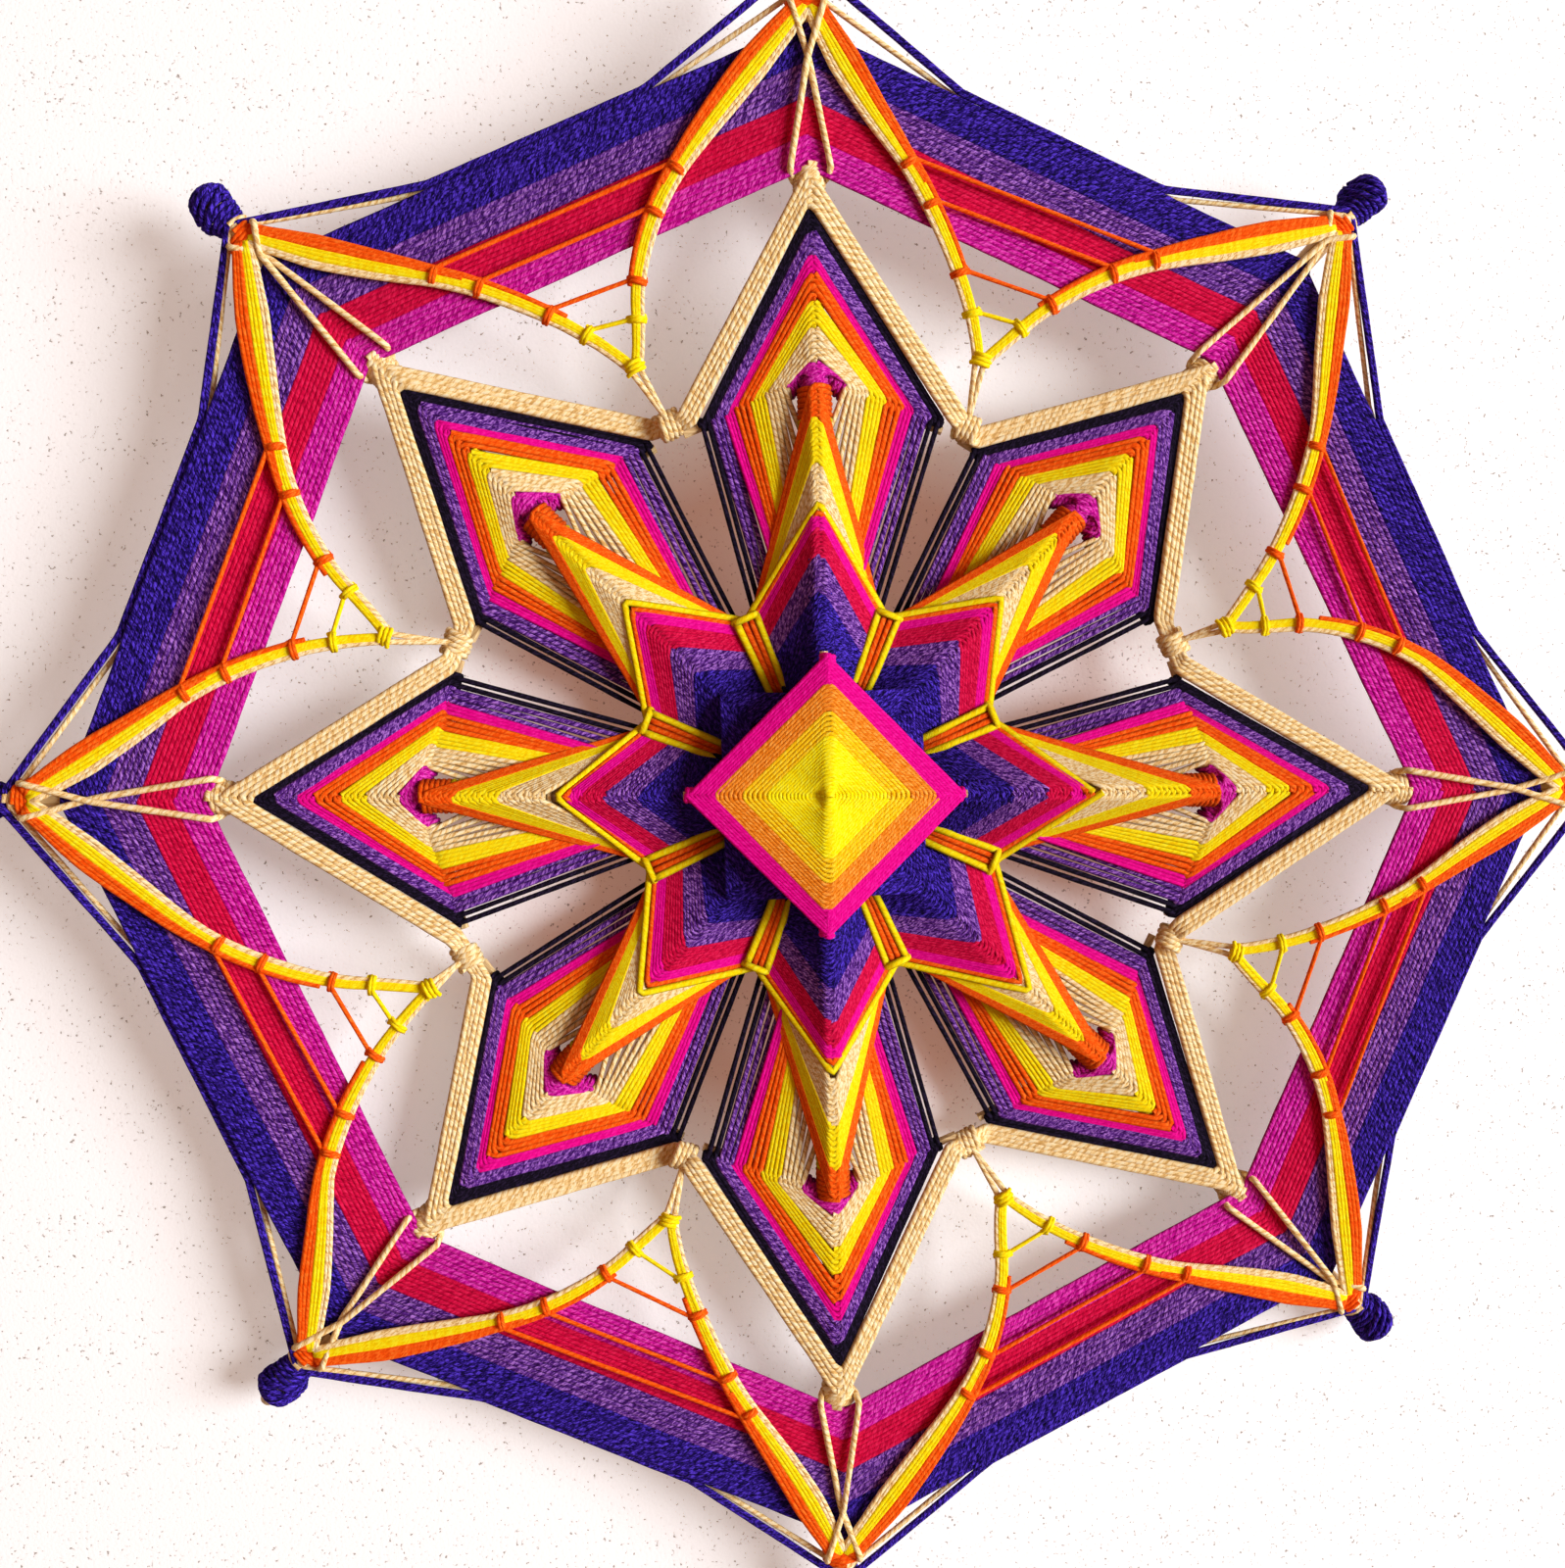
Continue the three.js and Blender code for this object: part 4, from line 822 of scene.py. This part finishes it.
def edgeStrand(rod, shifts, touch, offset, drop, under):
    points = []
    for gap in sectors:
        first = gap["first"]
        out = gap["along"] * offset
        points += wrapRod(first, rod + shifts[first["index"]] + offset, rodRadius + edge["clear"], edge["advance"])
        points += [edgePoint(gap, touch, drop) + out, edgePoint(gap, 0.5, under) + out - gap["along"] * (under - drop),
                   edgePoint(gap, 1 - touch, drop) + out]
    return points + [at(spokes[0], rod + shifts[0] + offset, 0, spokes[0]["depth"] + rodRadius + edge["clear"])]


navyStrands = [edgeStrand(edge["navyRod"], edge["navyShifts"], edge["navyTouch"], k * edge["navyStep"],
                          edge["navyDrop"], edge["navyDrop"]) for k in (0, 1)]
for spoke in spokes:
    wound, crossed = [], []
    rows = knob["profile"]
    shift = knob["shifts"][spoke["index"]]
    count = knob["turns"] * knob["steps"]
    for k in range(count + 1):
        place = (len(rows) - 1) * k / count
        n = min(int(place), len(rows) - 2)
        row = mix(Vector(rows[n]), Vector(rows[n + 1]), place - n)
        turn = 2 * math.pi * k / knob["steps"]
        wound.append(at(spoke, row.x + shift, row.y * math.cos(turn), spoke["depth"] + row.y * math.sin(turn)))
    for k in range(knob["crossed"] * knob["steps"] + 1):
        turn = 2 * math.pi * k / knob["steps"]
        crossed.append(at(spoke, knob["crossPlace"] + shift + knob["crossSwing"] * math.sin(turn * knob["crossPace"]),
                          knob["crossRadius"] * math.cos(turn), spoke["depth"] + knob["crossRadius"] * math.sin(turn)))
    navyStrands += [wound, crossed]
tanStrand = edgeStrand(edge["tanRod"], arcs["tips"], edge["tanTouch"], 0, edge["tanDrop"], edge["tanUnder"])
woundPiece("rim_edge_navy", "navy", "navy", navyStrands, edge["navyYarn"], wander=0.3, seed=167)
woundPiece("rim_edge_tan", "tan", "tan", [tanStrand], edge["tanYarn"], wander=0.3, seed=173)
for spoke in spokes:
    strands = []
    lift = spoke["depth"] + rim["wrapRadius"] + tie["crossLift"]
    knot = tie["knot"] + petal["reach"][spoke["index"]]
    tip = tie["tip"] + arcs["tips"][spoke["index"]]
    for side in (-1, 1):
        cross = at(spoke, tie["cross"][spoke["index"]], side * tie["crossSide"], lift + tie["crossGap"] * side)
        strands.append(besideRod(spoke, knot, side, tie["knotRows"]) + [cross]
                       + besideRod(spoke, tip, -side, tie["tipRows"]))
    strands.append(endWrap(spoke, tip, tie["endWrap"]))
    woundPiece("tip_tie_" + spoke["name"], "tan", "tan", strands, tie["yarn"], name="tip_tie_yarn_" + spoke["name"],
               seed=181 + spoke["index"])

# Lashing that holds the four rods at the hub, seen from behind.
hub = {"turns": 4, "yarn": 0.6, "pitch": 1.3, "width": 5.5, "depth": 6.3, "level": 8.05, "steps": 14}
hubStrands = []
for k in range(4):
    first, second = spokes[k], spokes[(k + 2) % 8]
    for side in (-1, 1):
        diagonal = (first["along"] + second["along"] * side).normalized()
        other = diagonal.cross(toViewer).normalized()
        hubStrands.append(coil(toViewer * hub["level"], other, diagonal, hub["width"], hub["depth"],
                               hub["pitch"] * hub["turns"], hub["turns"], hub["steps"]))
woundPiece("hub_lashing", "navy", "navy", hubStrands, hub["yarn"], wander=0.2, seed=191)
print("edges, knobs, ties and hub bound")

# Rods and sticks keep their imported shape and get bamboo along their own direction.
stickDirections = dict(zip(rodNodes, rodAngles))
for spoke in spokes:
    stickDirections["petal_stick_" + spoke["name"]] = math.degrees(spoke["angle"]) + 90
stickDirections.update(eye_stick_level=0, eye_stick_upright=90)
for node, direction in stickDirections.items():
    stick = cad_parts[node]
    stick.data.materials.clear()
    stick.data.materials.append(bambooMaterial(node, direction))
print("sticks finished", len(stickDirections))

# Plain pale plaster behind the part, with fine pits, bumped in and painted dark as the shade in them.
# The glow is painted warmer and dimmer near the hub (behind), as shade and bounce from the yarn, and pale further out
# (beside).
backdrop = {"size": 4.0, "gap": 0.008, "lean": 0.03, "colour": "E2E1E0", "pitShade": "8A827A", "pitSize": 0.85,
            "pitStops": (0.22, 0.34), "pitDepth": 0.4, "roughness": 0.95, "glow": 0.5,
            "behind": (0.078, "D49A84"), "beside": (0.112, "FFF3EC")}  # metres from the hub and the glow's colour


def seenRays(tree):
    ray = addNode(tree, "ShaderNodeLightPath", {}, {}).outputs
    direct = addMath(tree, "MAXIMUM", {}, {0: ray["Is Camera Ray"], 1: ray["Is Glossy Ray"]})
    return addMath(tree, "MAXIMUM", {}, {0: direct, 1: ray["Is Transmission Ray"]})


def plasterMaterial():
    material, tree, shader = newMaterial("painted_plaster")
    place = addNode(tree, "ShaderNodeTexCoord", {}, {}).outputs["Object"]
    pits = addNode(tree, "ShaderNodeTexNoise", {"Scale": 1000 / backdrop["pitSize"], "Detail": 1.0},
                   {"Vector": place}).outputs["Fac"]
    # Painted shade: the pits are darker in colour than the plaster around them.
    pitted = addRamp(tree, pits, zip(backdrop["pitStops"], (backdrop["pitShade"], backdrop["colour"])))
    bump = addNode(tree, "ShaderNodeBump", {"Strength": 0.2, "Distance": backdrop["pitDepth"] * metre},
                   {"Height": pits})
    tree.links.new(pitted, shader.inputs["Base Color"])
    tree.links.new(bump.outputs[0], shader.inputs["Normal"])
    shader.inputs["Roughness"].default_value = backdrop["roughness"]
    # Painted shade and bounce: in the gaps between the petals the glow is painted warmer and dimmer than beside them,
    # for the shade there and the light that comes off the yarn.
    away = addNode(tree, "ShaderNodeVectorMath", {"operation": "LENGTH"}, {0: place})
    paintedGapShade = addRamp(tree, away.outputs["Value"], (backdrop["behind"], backdrop["beside"]))
    tone = addVectorMath(tree, "MULTIPLY", {}, {0: pitted, 1: paintedGapShade})
    share = addMath(tree, "MULTIPLY", {1: backdrop["glow"]}, {0: seenRays(tree)})
    glow = addNode(tree, "ShaderNodeEmission", {}, {"Color": tone, "Strength": share})
    blend = addNode(tree, "ShaderNodeAddShader", {}, {0: shader.outputs[0], 1: glow.outputs[0]})
    face = addNode(tree, "ShaderNodeNewGeometry", {}, {})
    clear = addNode(tree, "ShaderNodeBsdfTransparent", {}, {})
    oneSided = addNode(tree, "ShaderNodeMixShader", {},
                       {0: face.outputs["Backfacing"], 1: blend.outputs[0], 2: clear.outputs[0]})
    tree.links.new(oneSided.outputs[0], tree.nodes["Material Output"].inputs["Surface"])
    return material


wallMesh = bpy.data.meshes.new("backdrop")
half = backdrop["size"] / 2
foot, head = (backdrop["gap"] + backdrop["lean"] * z for z in (-half, half))
wallMesh.from_pydata([(-half, foot, -half), (half, foot, -half), (half, head, half), (-half, head, half)], [],
                     [(0, 1, 2, 3)])
wallMesh.materials.append(plasterMaterial())
wall = addObject("backdrop", wallMesh)

# Soft daylight from the right and a warm, dim room all round that is seen as pale.
light = {"place": (4.6, -3.2, 0.3), "size": 3.2, "power": 492.0, "colour": "F2F8FF", "room": 0.26, "warm": "FFC0A0",
         "pale": "F6F2F0"}
lamp = bpy.data.lights.new("window", "AREA")
lamp.shape = "DISK"
lamp.size = light["size"]
lamp.energy = light["power"]
lamp.color = linearColour(light["colour"])[:3]
window = addObject("window", lamp)
window.location = light["place"]
window.rotation_euler = (-Vector(light["place"])).to_track_quat("-Z", "Y").to_euler()
room = bpy.data.worlds.new("room")
bpy.context.scene.world = room
room.use_nodes = True
roomTree = room.node_tree
warmth = roomTree.nodes["Background"]
warmth.inputs["Color"].default_value = linearColour(light["warm"])
warmth.inputs["Strength"].default_value = light["room"]
pale = addNode(roomTree, "ShaderNodeBackground", {"Color": linearColour(light["pale"]), "Strength": 1.0}, {})
roomMix = addNode(roomTree, "ShaderNodeMixShader", {},
                  {0: seenRays(roomTree), 1: warmth.outputs[0], 2: pale.outputs[0]})
roomTree.links.new(roomMix.outputs[0], roomTree.nodes["World Output"].inputs["Surface"])

# Camera as the photograph was taken, image 1597 x 1600.
view = {"place": (-39.0, -390.8, 25.7), "yaw": -0.076, "pitch": -0.0615, "roll": -0.0007, "focal": 1600, "height": 1600}
camera = bpy.data.cameras.new("camera")
camera.sensor_width = 36
camera.lens = view["focal"] / view["height"] * camera.sensor_width
camera.clip_start = 0.01
eyepiece = addObject("camera", camera)
turned = Euler((0, 0, view["yaw"])).to_matrix() @ Euler((view["pitch"], 0, 0)).to_matrix()
facing = turned @ Euler((0, view["roll"], 0)).to_matrix() @ Matrix(((1, 0, 0), (0, 0, -1), (0, 1, 0)))
eyepiece.matrix_world = Matrix.Translation(Vector(view["place"]) * metre) @ facing.to_4x4()
bpy.context.scene.camera = eyepiece
bpy.context.scene.view_settings.view_transform = "Standard"
